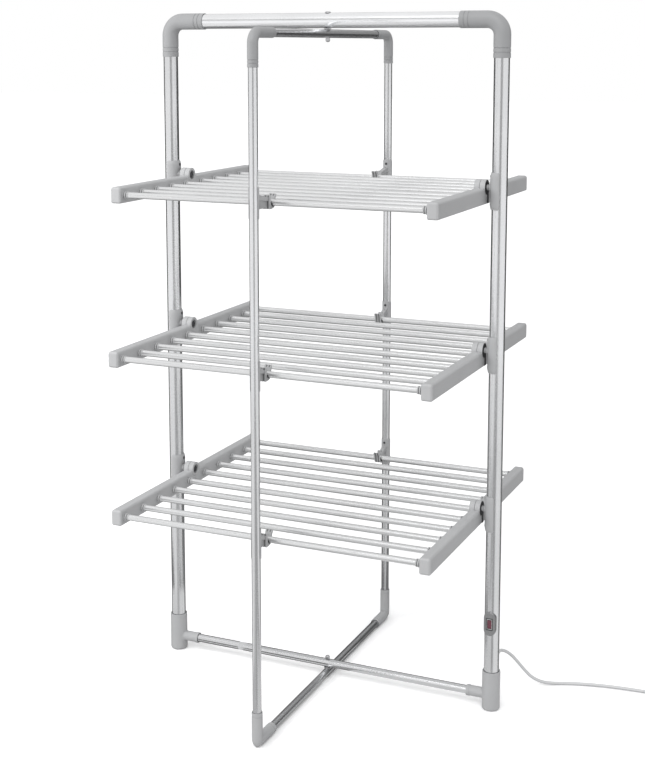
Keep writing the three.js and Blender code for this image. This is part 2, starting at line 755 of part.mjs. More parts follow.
// The saddle riveted to the inner side of the right upright, with the boss that the hub turns on
function saddle() {
  const inner = WIDE_TUBE / 2 + FIT;
  const outer = inner + SADDLE_WALL;
  const step = (2 * Math.PI) / WIDE_SIDES;
  const outline = new THREE.Shape();
  const ray = (radius, i) => [wideX - radius * Math.cos(i * step), radius * Math.sin(i * step)];
  outline.moveTo(...ray(outer, -SADDLE_STEPS_EACH_WAY));
  for (let i = 1 - SADDLE_STEPS_EACH_WAY; i <= SADDLE_STEPS_EACH_WAY; i += 1) {
    outline.lineTo(...ray(outer, i));
  }
  for (let i = SADDLE_STEPS_EACH_WAY; i >= -SADDLE_STEPS_EACH_WAY; i -= 1) {
    outline.lineTo(...ray(inner, i));
  }
  const settings = { depth: SADDLE_ABOVE + SADDLE_BELOW, bevelEnabled: false };
  const shell = new THREE.ExtrudeGeometry(outline, settings);
  shell.translate(0, 0, -SADDLE_BELOW);
  const bossEnd = railOuterX + FIT;
  const boss = cylinderX(SADDLE_BOSS, bossEnd, wideX - inner - FIT, 0, 0, THIN_SIDES);
  const bore = cylinderX(
    HUB_BOLT + 2 * FIT, bossEnd - OVERRUN, wideX - inner - SADDLE_BOLT_FLOOR, 0, 0, THIN_SIDES,
  );
  return solid(shell).add(boss).subtract(bore);
}

for (const tier of tiers) {
  const hubZ = tier.z + hubAboveBar;
  const backHalf = new THREE.Group();
  backHalf.position.z = hubZ;
  airer.add(backHalf);
  const frontHalf = turnedAbout(hubZ);
  for (const [place, parent] of [["back", backHalf], ["front", frontHalf]]) {
    const name = `${tier.name}_${place}`;
    add(`${name}_bars_and_rail`, barsAndRail(tier.pitch), BAR_PAINT, parent);
    add(`${name}_free_rail`, freeRail(tier.pitch), RAIL_PLASTIC, parent);
    add(`${name}_heating_wire`, heatingWire(tier.pitch), WIRE_SLEEVE, parent);
  }
  for (const [place, parent] of [["right", backHalf], ["left", frontHalf]]) {
    add(`${tier.name}_${place}_hub_bolt`, hubBolt(), DARK_PLASTIC, parent);
    add(`${tier.name}_${place}_saddle`, saddle(), GREY_PLASTIC, parent);
  }
}

// Catches: a sleeve on the upright and an arm with an open cradle for the outermost bar.
// Modelled at the back, where the arm reaches towards -Y, and turned half round for the front.
function catchOutline(reach) {
  const inner = BAR / 2 + CATCH_CRADLE_FIT;
  const outer = inner + CATCH_CRADLE_WALL;
  const root = NARROW_TUBE / 2;
  const y = (inboard) => narrowY - inboard;
  const outline = new THREE.Shape();
  outline.moveTo(y(root), -CATCH_ARM_BELOW);
  outline.lineTo(y(root), CATCH_ARM_ABOVE);
  outline.lineTo(y(root + CATCH_CRADLE_WALL), CATCH_ARM_ABOVE);
  outline.lineTo(y(reach - outer - CATCH_HORN_LEAN), CATCH_HORN);
  outline.lineTo(y(reach - inner - CATCH_HORN_LEAN), CATCH_HORN);
  outline.lineTo(y(reach - inner), 0);
  for (let i = 1; i < BEND_STEPS; i += 1) {
    const angle = (Math.PI * i) / BEND_STEPS;
    outline.lineTo(y(reach - inner * Math.cos(angle)), -inner * Math.sin(angle));
  }
  outline.lineTo(y(reach + inner), 0);
  outline.lineTo(y(reach + inner), CATCH_LIP - CATCH_LIP_FLARE);
  outline.lineTo(y(reach + inner + CATCH_LIP_FLARE), CATCH_LIP);
  outline.lineTo(y(reach + outer + CATCH_LIP_FLARE), CATCH_LIP - CATCH_CRADLE_WALL / 2);
  outline.lineTo(y(reach + outer), 0);
  for (let i = 1; i < BEND_STEPS - 1; i += 1) {
    const angle = (Math.PI * i) / BEND_STEPS;
    outline.lineTo(y(reach + outer * Math.cos(angle)), -outer * Math.sin(angle));
  }
  return outline;
}

function barCatch(reach) {
  const halfWidth = CATCH_WIDTH / 2;
  const sleeve = cylinderZ(CATCH_SLEEVE, -CATCH_BELOW, CATCH_ABOVE, 0, narrowY, THIN_SIDES);
  const arm = extrudedX(catchOutline(reach), -halfWidth, halfWidth);
  const bore = NARROW_TUBE + 2 * FIT;
  const through = cylinderZ(
    bore, -CATCH_BELOW - OVERRUN, CATCH_ABOVE + OVERRUN, 0, narrowY, THIN_SIDES,
  );
  const screwZ = CATCH_ABOVE - CATCH_SCREW_DROP;
  const face = narrowY - CATCH_SLEEVE / 2;
  const screw = cylinderY(CATCH_SCREW, face - OVERRUN, face + CATCH_SCREW_DEPTH, 0, screwZ, WIRE_SIDES);
  return sleeve.add(arm).subtract(through).subtract(screw);
}

for (const tier of tiers) {
  const back = new THREE.Group();
  back.position.z = tier.z;
  airer.add(back);
  const front = turnedAbout(tier.z);
  add(`${tier.name}_back_catch`, barCatch(tier.reach), GREY_PLASTIC, back);
  add(`${tier.name}_front_catch`, barCatch(tier.reach), GREY_PLASTIC, front);
}

// Switch on the front of the right upright
const bezelFace = -(WIDE_TUBE / 2 + BEZEL_STAND);
const rockerPivotY = bezelFace + FRAME_RECESS_DEPTH + ROCKER_THICKNESS / 2;

function switchBezel() {
  const straight = (BEZEL_LENGTH - BEZEL_WIDTH) / 2;
  const outline = new THREE.Shape();
  outline.absarc(wideX, SWITCH_HEIGHT + straight, BEZEL_WIDTH / 2, 0, Math.PI, false);
  outline.absarc(wideX, SWITCH_HEIGHT - straight, BEZEL_WIDTH / 2, Math.PI, 2 * Math.PI, false);
  const rounds = {
    curveSegments: 4,
    bevelEnabled: true,
    bevelThickness: BEZEL_ROUND,
    bevelSize: BEZEL_ROUND,
    bevelOffset: -BEZEL_ROUND,
    bevelSegments: 1,
  };
  const skirtEnd = bezelFace + BEZEL_STAND + BEZEL_SKIRT;
  const plate = extrudedY(outline, bezelFace, skirtEnd + BEZEL_ROUND, rounds);
  const tube = cylinderZ(
    WIDE_TUBE + 2 * FIT, SWITCH_HEIGHT - BEZEL_LENGTH, SWITCH_HEIGHT + BEZEL_LENGTH,
    wideX, 0, WIDE_SIDES,
  );
  const behind = block(
    [wideX - BEZEL_WIDTH, wideX + BEZEL_WIDTH],
    [skirtEnd, WIDE_TUBE],
    [SWITCH_HEIGHT - BEZEL_LENGTH, SWITCH_HEIGHT + BEZEL_LENGTH],
  );
  const box = (width, length, y0, y1) =>
    block(
      [wideX - width / 2, wideX + width / 2],
      [y0, y1],
      [SWITCH_HEIGHT - length / 2, SWITCH_HEIGHT + length / 2],
    );
  const bodyFront = bezelFace + BEZEL_ROUND;
  const housing = box(SWITCH_BODY_WIDTH, SWITCH_BODY_LENGTH, bodyFront, bodyFront + SWITCH_BODY_DEPTH);
  const recess = box(
    FRAME_RECESS_WIDTH, FRAME_RECESS_LENGTH, bezelFace - OVERRUN, bezelFace + FRAME_RECESS_DEPTH,
  );
  const well = box(
    ROCKER_WIDTH + 2 * FIT, ROCKER_LENGTH + 2 * ROCKER_END_GAP,
    bezelFace - OVERRUN, rockerPivotY + ROCKER_THICKNESS / 2 + ROCKER_UNDER_GAP,
  );
  return plate.subtract(behind).subtract(tube).add(housing).subtract(recess).subtract(well);
}

// The rocker in its off position: its upper half stands out, its lower half lies in the frame
function switchRocker() {
  const halfLength = ROCKER_LENGTH / 2;
  const halfThickness = ROCKER_THICKNESS / 2;
  const outline = new THREE.Shape();
  outline.moveTo(-halfThickness - ROCKER_DISH, -halfLength);
  outline.lineTo(halfThickness, -halfLength);
  outline.lineTo(halfThickness, halfLength);
  outline.lineTo(-halfThickness - ROCKER_DISH, halfLength);
  outline.lineTo(-halfThickness, 0);
  return extrudedX(outline, -ROCKER_WIDTH / 2, ROCKER_WIDTH / 2);
}

add("switch_bezel", switchBezel(), DARK_PLASTIC);
const rocker = add("switch_rocker", switchRocker(), RED_PLASTIC);
rocker.position.set(wideX, rockerPivotY, SWITCH_HEIGHT);
rocker.rotation.x = ROCKER_TILT;

// Strain relief on the back of the right upright
const bootTipY = WIDE_TUBE / 2 + BOOT_LENGTH;

function cordBoot() {
  const surface = WIDE_TUBE / 2;
  const flangeEnd = surface + BOOT_FLANGE_HEIGHT;
  const boot = turnedY(
    [
      [0, surface - BOOT_INSIDE],
      [BOOT_FLANGE / 2, surface - BOOT_INSIDE],
      [BOOT_FLANGE / 2, flangeEnd],
      [BOOT_ROOT / 2, flangeEnd],
      [BOOT_TIP / 2, bootTipY],
      [0, bootTipY],
    ],
    wideX, CORD_HEIGHT, THIN_SIDES,
  );
  const tube = cylinderZ(
    WIDE_TUBE + 2 * FIT, CORD_HEIGHT - BOOT_LENGTH, CORD_HEIGHT + BOOT_LENGTH, wideX, 0, WIDE_SIDES,
  );
  const neck = cylinderY(BOOT_NECK, surface - BOOT_INSIDE, flangeEnd, wideX, CORD_HEIGHT, THIN_SIDES);
  return boot.subtract(tube).add(neck);
}

// Free cord: out of its strain relief, down to the floor and along it
function freeCordRoute() {
  const [dx, dy, z] = CORD_ROUTE.at(-1);
  const points = CORD_ROUTE.map(([x, y, height]) => at(wideX + x, bootTipY + FIT + y, height));
  points[points.length - 1].set(wideX + dx - FIT, bootTipY + FIT + dy, z);
  const curve = new THREE.CatmullRomCurve3(points, false, "centripetal");
  const steps = Math.ceil(curve.getLength() / (CORD * CORD_STEP_SHARE));
  const route = routeOfPoints(curve.getSpacedPoints(steps));
  route.tangents[0].set(0, 1, 0);
  route.tangents[steps].set(1, 0, 0);
  return route;
}

// Put-away cord: a flat coil that winds in on the floor, climbs a layer and winds out again
function coilRoute() {
  const [dx, dy, startZ] = CORD_ROUTE.at(-1);
  const start = at(wideX + dx, bootTipY + FIT + dy, startZ);
  const centre = at(start.x + CORD, start.y + COIL_RADIUS, startZ);
  const turns = COIL_TURNS_IN + 1 / 2 + COIL_TURNS_OUT;
  const steps = Math.round(turns * COIL_STEPS);
  const points = [start];
  for (let i = 0; i <= steps; i += 1) {
    const turn = i / COIL_STEPS;
    const reversal = COIL_TURNS_IN + 1 / 4;
    const wound = reversal - Math.abs(turn - reversal);
    const climb = THREE.MathUtils.clamp((turn - COIL_TURNS_IN) * 2, 0, 1);
    const radius = COIL_RADIUS - COIL_PITCH * wound;
    const angle = 2 * Math.PI * turn - Math.PI / 2;
    const z = startZ + COIL_LAYER * (1 - Math.cos(Math.PI * climb)) / 2;
    points.push(at(centre.x + radius * Math.cos(angle), centre.y + radius * Math.sin(angle), z));
  }
  const last = points.at(-1);
  points.push(at(last.x, last.y + COIL_TAIL, last.z));
  const route = routeOfPoints(points);
  route.tangents[0].set(1, 0, 0);
  route.tangents[route.tangents.length - 1].set(0, 1, 0);
  return route;
}

// Least gap between turns, on points set closer together than the cord is thick
function leastGap(route) {
  const samples = [];
  let along = 0;
  route.points.slice(1).forEach((point, i) => {
    const from = route.points[i];
    const length = from.distanceTo(point);
    const parts = Math.ceil(length / (CORD / 4));
    for (let part = 0; part < parts; part += 1) {
      samples.push({ along: along + (length * part) / parts, place: from.clone().lerp(point, part / parts) });
    }
    along += length;
  });
  let least = Infinity;
  samples.forEach((one, i) => {
    for (const other of samples.slice(i + 1)) {
      if (other.along - one.along > COIL_RADIUS) {
        least = Math.min(least, one.place.distanceTo(other.place) - CORD);
      }
    }
  });
  return least;
}

// A moulded two-pin plug, lying with its cord in line with the end of the coil
function plug(tail) {
  const y0 = tail.y + FIT;
  const bodyStart = y0 + PLUG_RELIEF_LENGTH;
  const bodyEnd = bodyStart + PLUG_LENGTH;
  const thickness = 2 * tail.z;
  const relief = turnedY(
    [
      [0, y0],
      [BOOT_TIP / 2, y0],
      [PLUG_RELIEF_ROOT / 2, bodyStart + FIT],
      [0, bodyStart + FIT],
    ],
    tail.x, tail.z, THIN_SIDES,
  );
  const halfWidth = PLUG_WIDTH / 2;
  const round = PLUG_ROUND;
  const waist = PLUG_RELIEF_ROOT / 2;
  const outline = new THREE.Shape();
  outline.moveTo(tail.x - waist, bodyStart);
  outline.lineTo(tail.x + waist, bodyStart);
  outline.lineTo(tail.x + halfWidth, bodyStart + PLUG_LENGTH / 2);
  outline.lineTo(tail.x + halfWidth, bodyEnd - round);
  outline.absarc(tail.x + halfWidth - round, bodyEnd - round, round, 0, Math.PI / 2, false);
  outline.absarc(tail.x - halfWidth + round, bodyEnd - round, round, Math.PI / 2, Math.PI, false);
  outline.lineTo(tail.x - halfWidth, bodyStart + PLUG_LENGTH / 2);
  const rounds = {
    depth: thickness - 2 * PLUG_EDGE,
    curveSegments: 2,
    bevelEnabled: true,
    bevelThickness: PLUG_EDGE,
    bevelSize: PLUG_EDGE,
    bevelOffset: -PLUG_EDGE,
    bevelSegments: 1,
  };
  const shell = new THREE.ExtrudeGeometry(outline, rounds);
  shell.translate(0, 0, PLUG_EDGE);
  let body = solid(shell).add(relief);
  for (const side of [-1, 1]) {
    const x = tail.x + (side * PLUG_PIN_SPACING) / 2;
    body = body.add(cylinderY(PLUG_PIN, bodyEnd - FIT, bodyEnd + PLUG_PIN_LENGTH, x, tail.z, THIN_SIDES));
  }
  return body;
}

const freeCord = freeCordRoute();
const coil = coilRoute();
add("cord_boot", cordBoot(), GREY_PLASTIC);
add("cord", rodAlong(freeCord, CORD, CORD_SIDES), CORD_JACKET);
add("cord_coil", rodAlong(coil, CORD, COIL_SIDES), CORD_JACKET);
add("plug", plug(coil.points.at(-1)), CORD_JACKET);

const cordLength = freeCord.length() + coil.length();
console.log(`cord length ${cordLength.toFixed(0)} mm, least gap in coil ${leastGap(coil).toFixed(2)} mm`);

export default airer;
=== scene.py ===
# %% [markdown]
# # A heated clothes airer
# Two folding frames of aluminium tube carry three tiers of warm bars. The packed
# model gives every piece its place. This lesson gives each piece its finer shape
# and its finish: round tubes, ringed sockets, moulded rails, ferrules and a cord.

import math

import bmesh
import bpy
from mathutils import Matrix, Vector


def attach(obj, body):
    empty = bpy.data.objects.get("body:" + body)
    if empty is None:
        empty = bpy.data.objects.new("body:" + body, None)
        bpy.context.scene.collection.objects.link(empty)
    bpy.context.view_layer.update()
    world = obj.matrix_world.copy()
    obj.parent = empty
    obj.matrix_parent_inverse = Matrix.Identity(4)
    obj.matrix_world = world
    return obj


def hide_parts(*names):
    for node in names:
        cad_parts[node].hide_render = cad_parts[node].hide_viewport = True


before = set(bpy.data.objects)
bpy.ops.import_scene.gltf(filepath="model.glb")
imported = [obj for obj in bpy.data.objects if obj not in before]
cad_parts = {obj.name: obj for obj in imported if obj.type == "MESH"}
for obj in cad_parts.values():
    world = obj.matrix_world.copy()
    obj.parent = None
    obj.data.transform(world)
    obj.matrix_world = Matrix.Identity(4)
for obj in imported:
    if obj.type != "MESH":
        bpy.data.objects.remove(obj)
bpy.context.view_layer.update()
MM = 0.001

# %% [markdown]
# The photograph was taken from the front and a little to the right, at about the
# height of the top bar, with a long lens. A lens shift keeps the uprights nearly
# parallel, as a product photographer would, so the camera hardly tips down.

# %% Camera
CAMERA_PLACE = (1.1238, -2.5585, 1.3137)
CAMERA_TURN, CAMERA_TIP = math.radians(23.93), math.radians(7.93)
FOCAL_PIXELS, PICTURE_HEIGHT, AXIS_ROW = 1400.2, 774, 241.0

looking = Vector((
    -math.sin(CAMERA_TURN) * math.cos(CAMERA_TIP),
    math.cos(CAMERA_TURN) * math.cos(CAMERA_TIP),
    -math.sin(CAMERA_TIP),
))
camera = bpy.data.objects.new("camera", bpy.data.cameras.new("camera"))
bpy.context.scene.collection.objects.link(camera)
camera.location = CAMERA_PLACE
camera.rotation_euler = looking.to_track_quat("-Z", "Y").to_euler()
camera.data.sensor_width = 36
camera.data.lens = FOCAL_PIXELS / PICTURE_HEIGHT * camera.data.sensor_width
camera.data.shift_y = (AXIS_ROW - PICTURE_HEIGHT / 2) / PICTURE_HEIGHT
bpy.context.scene.camera = camera
print("lens", round(camera.data.lens, 1), "mm, shift", round(camera.data.shift_y, 3))

# %% [markdown]
# Nearly every piece here is round: a tube, a turned knob, a bent socket. They can
# all be made by joining loops of points, one loop after the next, like the hoops of
# a barrel. A skin of loops stays editable as plain numbers, and its ends can be
# capped, or joined to each other when the piece is a hollow tube.

# %% Skins of loops
def mesh_piece(name, points, faces):
    """A new object from points in millimetres, with its faces turned outwards."""
    mesh = bpy.data.meshes.new(name)
    mesh.from_pydata([tuple(Vector(p) * MM) for p in points], [], faces)
    shape = bmesh.new()
    shape.from_mesh(mesh)
    bmesh.ops.recalc_face_normals(shape, faces=shape.faces)
    shape.to_mesh(mesh)
    shape.free()
    piece = bpy.data.objects.new(name, mesh)
    bpy.context.scene.collection.objects.link(piece)
    return piece


def skin(name, loops, hollow=False):
    """A closed skin through loops of equally many points."""
    sides = len(loops[0])
    points = [point for loop in loops for point in loop]
    pairs = [(i, i + 1) for i in range(len(loops) - 1)]
    if hollow:
        pairs.append((len(loops) - 1, 0))
    faces = []
    for a, b in pairs:
        for i in range(sides):
            j = (i + 1) % sides
            faces.append((a * sides + i, a * sides + j, b * sides + j, b * sides + i))
    if not hollow:
        faces.append(tuple(range(sides)))
        faces.append(tuple(range((len(loops) - 1) * sides, len(loops) * sides)))
    return mesh_piece(name, points, faces)


print("ready to make skins")

# %% [markdown]
# A turned piece is a skin whose loops are circles round one line, as if it came off
# a lathe. Its profile is a short list of distances and radii. No real edge is quite
# sharp, so the corners of a profile can be eased before the piece is turned.

# %% Turned pieces
UP, BACK, RIGHT = (0, 0, 1), (0, 1, 0), (1, 0, 0)


def hoop(centre, axis, radius, sides, across=None):
    """Points of a circle of radius round centre, square to axis."""
    axis = Vector(axis).normalized()
    across = Vector(across) if across else Vector((axis.y, axis.z, axis.x))
    first = (across - axis * axis.dot(across)).normalized()
    second = axis.cross(first)
    turns = [2 * math.pi * (i + 0.5) / sides for i in range(sides)]
    return [Vector(centre) + radius * (math.cos(t) * first + math.sin(t) * second) for t in turns]


def turned(name, start, axis, profile, sides=48, hollow=False, across=None):
    """A turned piece: profile holds (distance along axis, radius) pairs."""
    axis = Vector(axis).normalized()
    loops = [hoop(Vector(start) + axis * along, axis, radius, sides, across) for along, radius in profile]
    return skin(name, loops, hollow)


def quarter_turns(steps):
    """The angles from nothing to a right angle, in equal steps."""
    return [math.pi / 2 * i / steps for i in range(steps + 1)]


def eased(corners, radius, steps=4):
    """A line of 2D points with its inner corners rounded to radius."""
    line = [corners[0]]
    for before, here, after in zip(corners, corners[1:], corners[2:]):
        a, b, c = Vector(before), Vector(here), Vector(after)
        towards, away = (a - b), (c - b)
        reach = min(radius, towards.length * 0.49, away.length * 0.49)
        start, end = b + towards.normalized() * reach, b + away.normalized() * reach
        for i in range(steps + 1):
            t = i / steps
            line.append(tuple((1 - t) ** 2 * start + 2 * t * (1 - t) * b + t * t * end))
    line.append(corners[-1])
    return line


print("a right angle in three steps:", [round(math.degrees(t)) for t in quarter_turns(3)])

# %% [markdown]
# Some pieces are easier to think of as solids joined to and cut from each other,
# such as a rail with its hub. Blender's Boolean modifier does this, and its result
# is baked into the mesh at once, so that no helper object stays behind.

# %% Joining and cutting
def baked(piece):
    """Bakes the modifiers of piece into its mesh."""
    graph = bpy.context.evaluated_depsgraph_get()
    mesh = bpy.data.meshes.new_from_object(piece.evaluated_get(graph))
    old = piece.data
    piece.modifiers.clear()
    piece.data = mesh
    mesh.name = piece.name
    bpy.data.meshes.remove(old)
    return piece


def worked(piece, tools, operation):
    """piece with tools joined to it (UNION) or cut from it (DIFFERENCE)."""
    for tool in tools:
        change = piece.modifiers.new("work", "BOOLEAN")
        change.operation = operation
        change.solver = "MANIFOLD"
        change.object = tool
        baked(piece)
        bpy.data.objects.remove(tool)
    return piece


def joined(piece, *tools):
    return worked(piece, tools, "UNION")


def cut(piece, *tools):
    return worked(piece, tools, "DIFFERENCE")


def softened(piece, width):
    """Rounds the sharp edges of piece to width."""
    bevel = piece.modifiers.new("eased edges", "BEVEL")
    bevel.width = width * MM
    bevel.segments = 3
    bevel.angle_limit = math.radians(40)
    return baked(piece)


print("ready to join and cut")

# %% [markdown]
# A smooth surface needs smooth shading, but a moulded edge has to stay crisp. Edges
# sharper than a set angle are marked, and large flat faces lead the shading of their
# rounded edges. Then each piece gets its finish, and is told which body it rides on
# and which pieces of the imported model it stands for.

# %% Shading and fitting
def shaded(piece, crease=35):
    """Smooth shading, with edges sharper than crease degrees kept crisp."""
    shape = bmesh.new()
    shape.from_mesh(piece.data)
    for face in shape.faces:
        face.smooth = True
    for edge in shape.edges:
        edge.smooth = len(edge.link_faces) == 2 and edge.calc_face_angle(0) < math.radians(crease)
    shape.to_mesh(piece.data)
    shape.free()
    weights = piece.modifiers.new("flat faces first", "WEIGHTED_NORMAL")
    weights.keep_sharp = True
    return baked(piece)


def fitted(piece, body, slot, finish, *nodes):
    """piece gets its finish, rides on body and stands for nodes."""
    piece.data.materials.clear()
    piece.data.materials.append(finish)
    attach(piece, body)
    if nodes:
        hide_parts(*nodes)
    return piece


def placed(where, body, rows):
    """Moves the piece of each row by the matrix where, and fits it to body."""
    for piece, slot, finish, *nodes in rows:
        piece.data.transform(where)
        fitted(piece, body, slot, finish, *nodes)


print("ready to shade and fit")

# %% [markdown]
# A finish is more than a colour. Moulded plastic has a fine grain from its mould and
# slow changes of tone, and drawn tube has thousands of faint lines along its length.
# Noise gives both: round noise for grain, and noise stretched along one axis for
# drawn lines. Colour, roughness and a very small bump each take a share of it.

# %% Noise and its uses
def noise(nodes, links, scale, stretch=(1, 1, 1), detail=3):
    """Noise over the piece's own coordinates, scale in cells per metre."""
    place = nodes.new("ShaderNodeTexCoord")
    mapping = nodes.new("ShaderNodeMapping")
    mapping.inputs["Scale"].default_value = stretch
    cells = nodes.new("ShaderNodeTexNoise")
    cells.inputs["Scale"].default_value = scale
    cells.inputs["Detail"].default_value = detail
    links.new(place.outputs["Object"], mapping.inputs["Vector"])
    links.new(mapping.outputs["Vector"], cells.inputs["Vector"])
    return cells.outputs["Fac"]


def ranged(nodes, links, value, low, high):
    """value, which is mostly 0.3 to 0.7, spread from low to high."""
    spread = nodes.new("ShaderNodeMapRange")
    settings = {"From Min": 0.3, "From Max": 0.7, "To Min": low, "To Max": high}
    for socket, number in settings.items():
        spread.inputs[socket].default_value = number
    links.new(value, spread.inputs["Value"])
    return spread.outputs["Result"]


def blended(nodes, links, value, first, second):
    """first to second colour by value."""
    mix = nodes.new("ShaderNodeMix")
    mix.data_type = "RGBA"
    mix.inputs["A"].default_value = (*first, 1)
    mix.inputs["B"].default_value = (*second, 1)
    links.new(value, mix.inputs["Factor"])
    return mix.outputs["Result"]


def bumped(nodes, links, shader, value, depth):
    """A bump of depth millimetres from value."""
    bump = nodes.new("ShaderNodeBump")
    bump.inputs["Distance"].default_value = depth * MM
    bump.inputs["Strength"].default_value = 1
    links.new(value, bump.inputs["Height"])
    links.new(bump.outputs["Normal"], shader.inputs["Normal"])


print("ready to mix finishes")

# %% [markdown]
# Every finish is the same recipe with its own numbers. Tubes and bars are metal; the top
# bar is a little brighter than the rest, which is painted light. Feet, rails and catches
# come from different moulds, so their greys differ slightly, and the darker grey of the
# elbows is painted shade. A deeper grey stands for the shade in narrow grooves, which are
# too fine for soft light to darken by itself.

# %% Finishes
SLOW_CHANGE, DRAWN = 9, 0.006


def finish_of(name, colour, metallic, rough, tone, grain, depth, stretch=(1, 1, 1), **sockets):
    """A material: colour varies by tone, roughness over the pair rough, with a fine grain."""
    material = bpy.data.materials.new(name)
    material.use_nodes = True
    nodes, links = material.node_tree.nodes, material.node_tree.links
    shader = nodes["Principled BSDF"]
    shader.inputs["Metallic"].default_value = metallic
    for socket, value in sockets.items():
        shader.inputs[socket.replace("_", " ")].default_value = value
    slow = noise(nodes, links, SLOW_CHANGE, detail=4)
    fine = noise(nodes, links, grain, stretch)
    darker, lighter = [c * (1 - tone) for c in colour], [min(c * (1 + tone), 1) for c in colour]
    shade = blended(nodes, links, ranged(nodes, links, slow, 0, 1), darker, lighter)
    links.new(shade, shader.inputs["Base Color"])
    links.new(ranged(nodes, links, fine, *rough), shader.inputs["Roughness"])
    bumped(nodes, links, shader, fine, depth)
    return material


def drawn_tube(name, axis, colour=(0.67, 0.675, 0.685)):
    """Satin anodised tube with its drawing lines along axis."""
    stretch = [DRAWN if letter == axis else 1 for letter in "XYZ"]
    return finish_of(name, colour, 1.0, (0.2, 0.26), 0.03, 1500, 0.002, stretch)


TUBE = {axis: drawn_tube("satin aluminium " + axis, axis) for axis in "XYZ"}
# The top bar is the same drawn tube, in a lighter colour that is painted light.
LIT_TOP_TUBE = drawn_tube("aluminium with painted light", "X", (0.8, 0.805, 0.815))
BAR = finish_of("satin bar coating", (0.71, 0.714, 0.718), 0.85, (0.26, 0.3), 0.02, 1800, 0.001,
                (DRAWN, 1, 1))
GREY = finish_of("grey foot plastic", (0.45, 0.454, 0.46), 0, (0.42, 0.52), 0.03, 2600, 0.012)
# The elbows' grey is the feet's grey plastic made darker, as painted shade.
SHADED_ELBOW_GREY = finish_of("grey plastic with painted shade", (0.36, 0.364, 0.37), 0, (0.4, 0.5), 0.04, 2600, 0.012)
CATCH_GREY = finish_of("grey catch plastic", (0.45, 0.454, 0.46), 0, (0.3, 0.4), 0.05, 2600, 0.012)
RAIL = finish_of("grey rail plastic", (0.5, 0.504, 0.51), 0, (0.4, 0.5), 0.025, 2600, 0.01)
FERRULE = finish_of("ferrule plastic", (0.52, 0.525, 0.53), 0, (0.3, 0.4), 0.03, 3000, 0.006)
GROOVE = finish_of("shaded groove", (0.16, 0.161, 0.164), 0, (0.4, 0.5), 0.05, 2600, 0.006)
ZINC = finish_of("zinc plated steel", (0.5, 0.5, 0.51), 1.0, (0.25, 0.4), 0.08, 900, 0.008)
BLACKENED = finish_of("blackened steel", (0.06, 0.06, 0.065), 0.7, (0.35, 0.5), 0.2, 1200, 0.01)
DARK = finish_of("dark plastic and painted shade", (0.035, 0.036, 0.038), 0, (0.3, 0.42), 0.1, 3000, 0.006)
BEZEL = finish_of("satin switch bezel", (0.24, 0.242, 0.245), 0.35, (0.22, 0.32), 0.05, 2400, 0.005,
                  Coat_Weight=0.5)
TRIM = finish_of("switch trim", (0.6, 0.6, 0.605), 0.4, (0.2, 0.3), 0.05, 2400, 0.004)
RED = finish_of("red lens", (0.17, 0.03, 0.055), 0, (0.12, 0.2), 0.1, 1500, 0.003,
                Transmission_Weight=0.2, Coat_Weight=0.5)
JACKET = finish_of("cord jacket", (0.66, 0.665, 0.67), 0, (0.45, 0.6), 0.03, 2200, 0.02)
SLEEVE = finish_of("silicone wire sleeve", (0.6, 0.55, 0.44), 0, (0.5, 0.65), 0.05, 2500, 0.01)
print(len(bpy.data.materials), "finishes")

# %% [markdown]
# The mains cord leaves the back of the right upright through a strain relief, falls
# to the floor in one lazy curve and runs out of the picture. There the rest of it is
# put away in a flat coil that winds in, climbs onto itself and winds out to the plug.
# A curve object is the natural tool for a cord: the line is its route, and the bevel
# its thickness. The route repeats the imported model's points.

# %% Cord route
SIDE_X, BOOT_TIP_Y = 357.0, 42.0
CORD, GAP = 6.5, 0.3
CORD_OFFSETS = [
    (0, 0, 98), (0, 10, 97.8), (2, 21, 96), (7, 33, 90), (15, 45, 79), (25, 57, 62),
    (36, 69, 42), (49, 81, 23), (66, 94, 10), (88, 108, 4.2), (116, 121, 3.35),
    (155, 133, 3.35), (200, 142, 3.35), (250, 147, 3.35), (295, 149, 3.35), (323, 149, 3.35),
]


def flowing(points, steps):
    """A smooth line through points, steps pieces between each two (centripetal)."""
    ends = [2 * points[0] - points[1], *points, 2 * points[-1] - points[-2]]
    line = []
    for p0, p1, p2, p3 in zip(ends, ends[1:], ends[2:], ends[3:]):
        d0, d1, d2 = [math.sqrt((b - a).length) for a, b in ((p0, p1), (p1, p2), (p2, p3))]
        t1 = ((p1 - p0) / d0 - (p2 - p0) / (d0 + d1) + (p2 - p1) / d1) * d1
        t2 = ((p2 - p1) / d1 - (p3 - p1) / (d1 + d2) + (p3 - p2) / d2) * d1
        for i in range(steps):
            t = i / steps
            h = (2 * t**3 - 3 * t**2 + 1, t**3 - 2 * t**2 + t, -2 * t**3 + 3 * t**2, t**3 - t**2)
            line.append(h[0] * p1 + h[1] * t1 + h[2] * p2 + h[3] * t2)
    return line + [points[-1]]


def coil_line(start, radius=46, pitch=7.4, layer=7.2, turns_in=2, turns=4.25, tail=34, steps=48):
    """Points of the put-away coil, from where it starts on the floor to the plug."""
    centre = start + Vector((CORD, radius, 0))
    line = []
    for i in range(round(turns * steps) + 1):
        turn = i / steps
        wound = turns_in + 0.25 - abs(turn - turns_in - 0.25)
        climb = min(max((turn - turns_in) * 2, 0), 1)
        angle = 2 * math.pi * turn - math.pi / 2
        out = radius - pitch * wound
        rise = layer * (1 - math.cos(math.pi * climb)) / 2
        line.append(centre + Vector((out * math.cos(angle), out * math.sin(angle), rise)))
    return line + [line[-1] + Vector((0, tail, 0))]


cord_points = [Vector((SIDE_X + x, BOOT_TIP_Y + GAP + y, z)) for x, y, z in CORD_OFFSETS]
cord_line = flowing(cord_points, 6)
cord_line += coil_line(cord_points[-1])

# %% [markdown]
# The route becomes a curve object with a round bevel. It is left a curve, because a
# cord is changed most easily by moving its points, and its jacket follows at once.

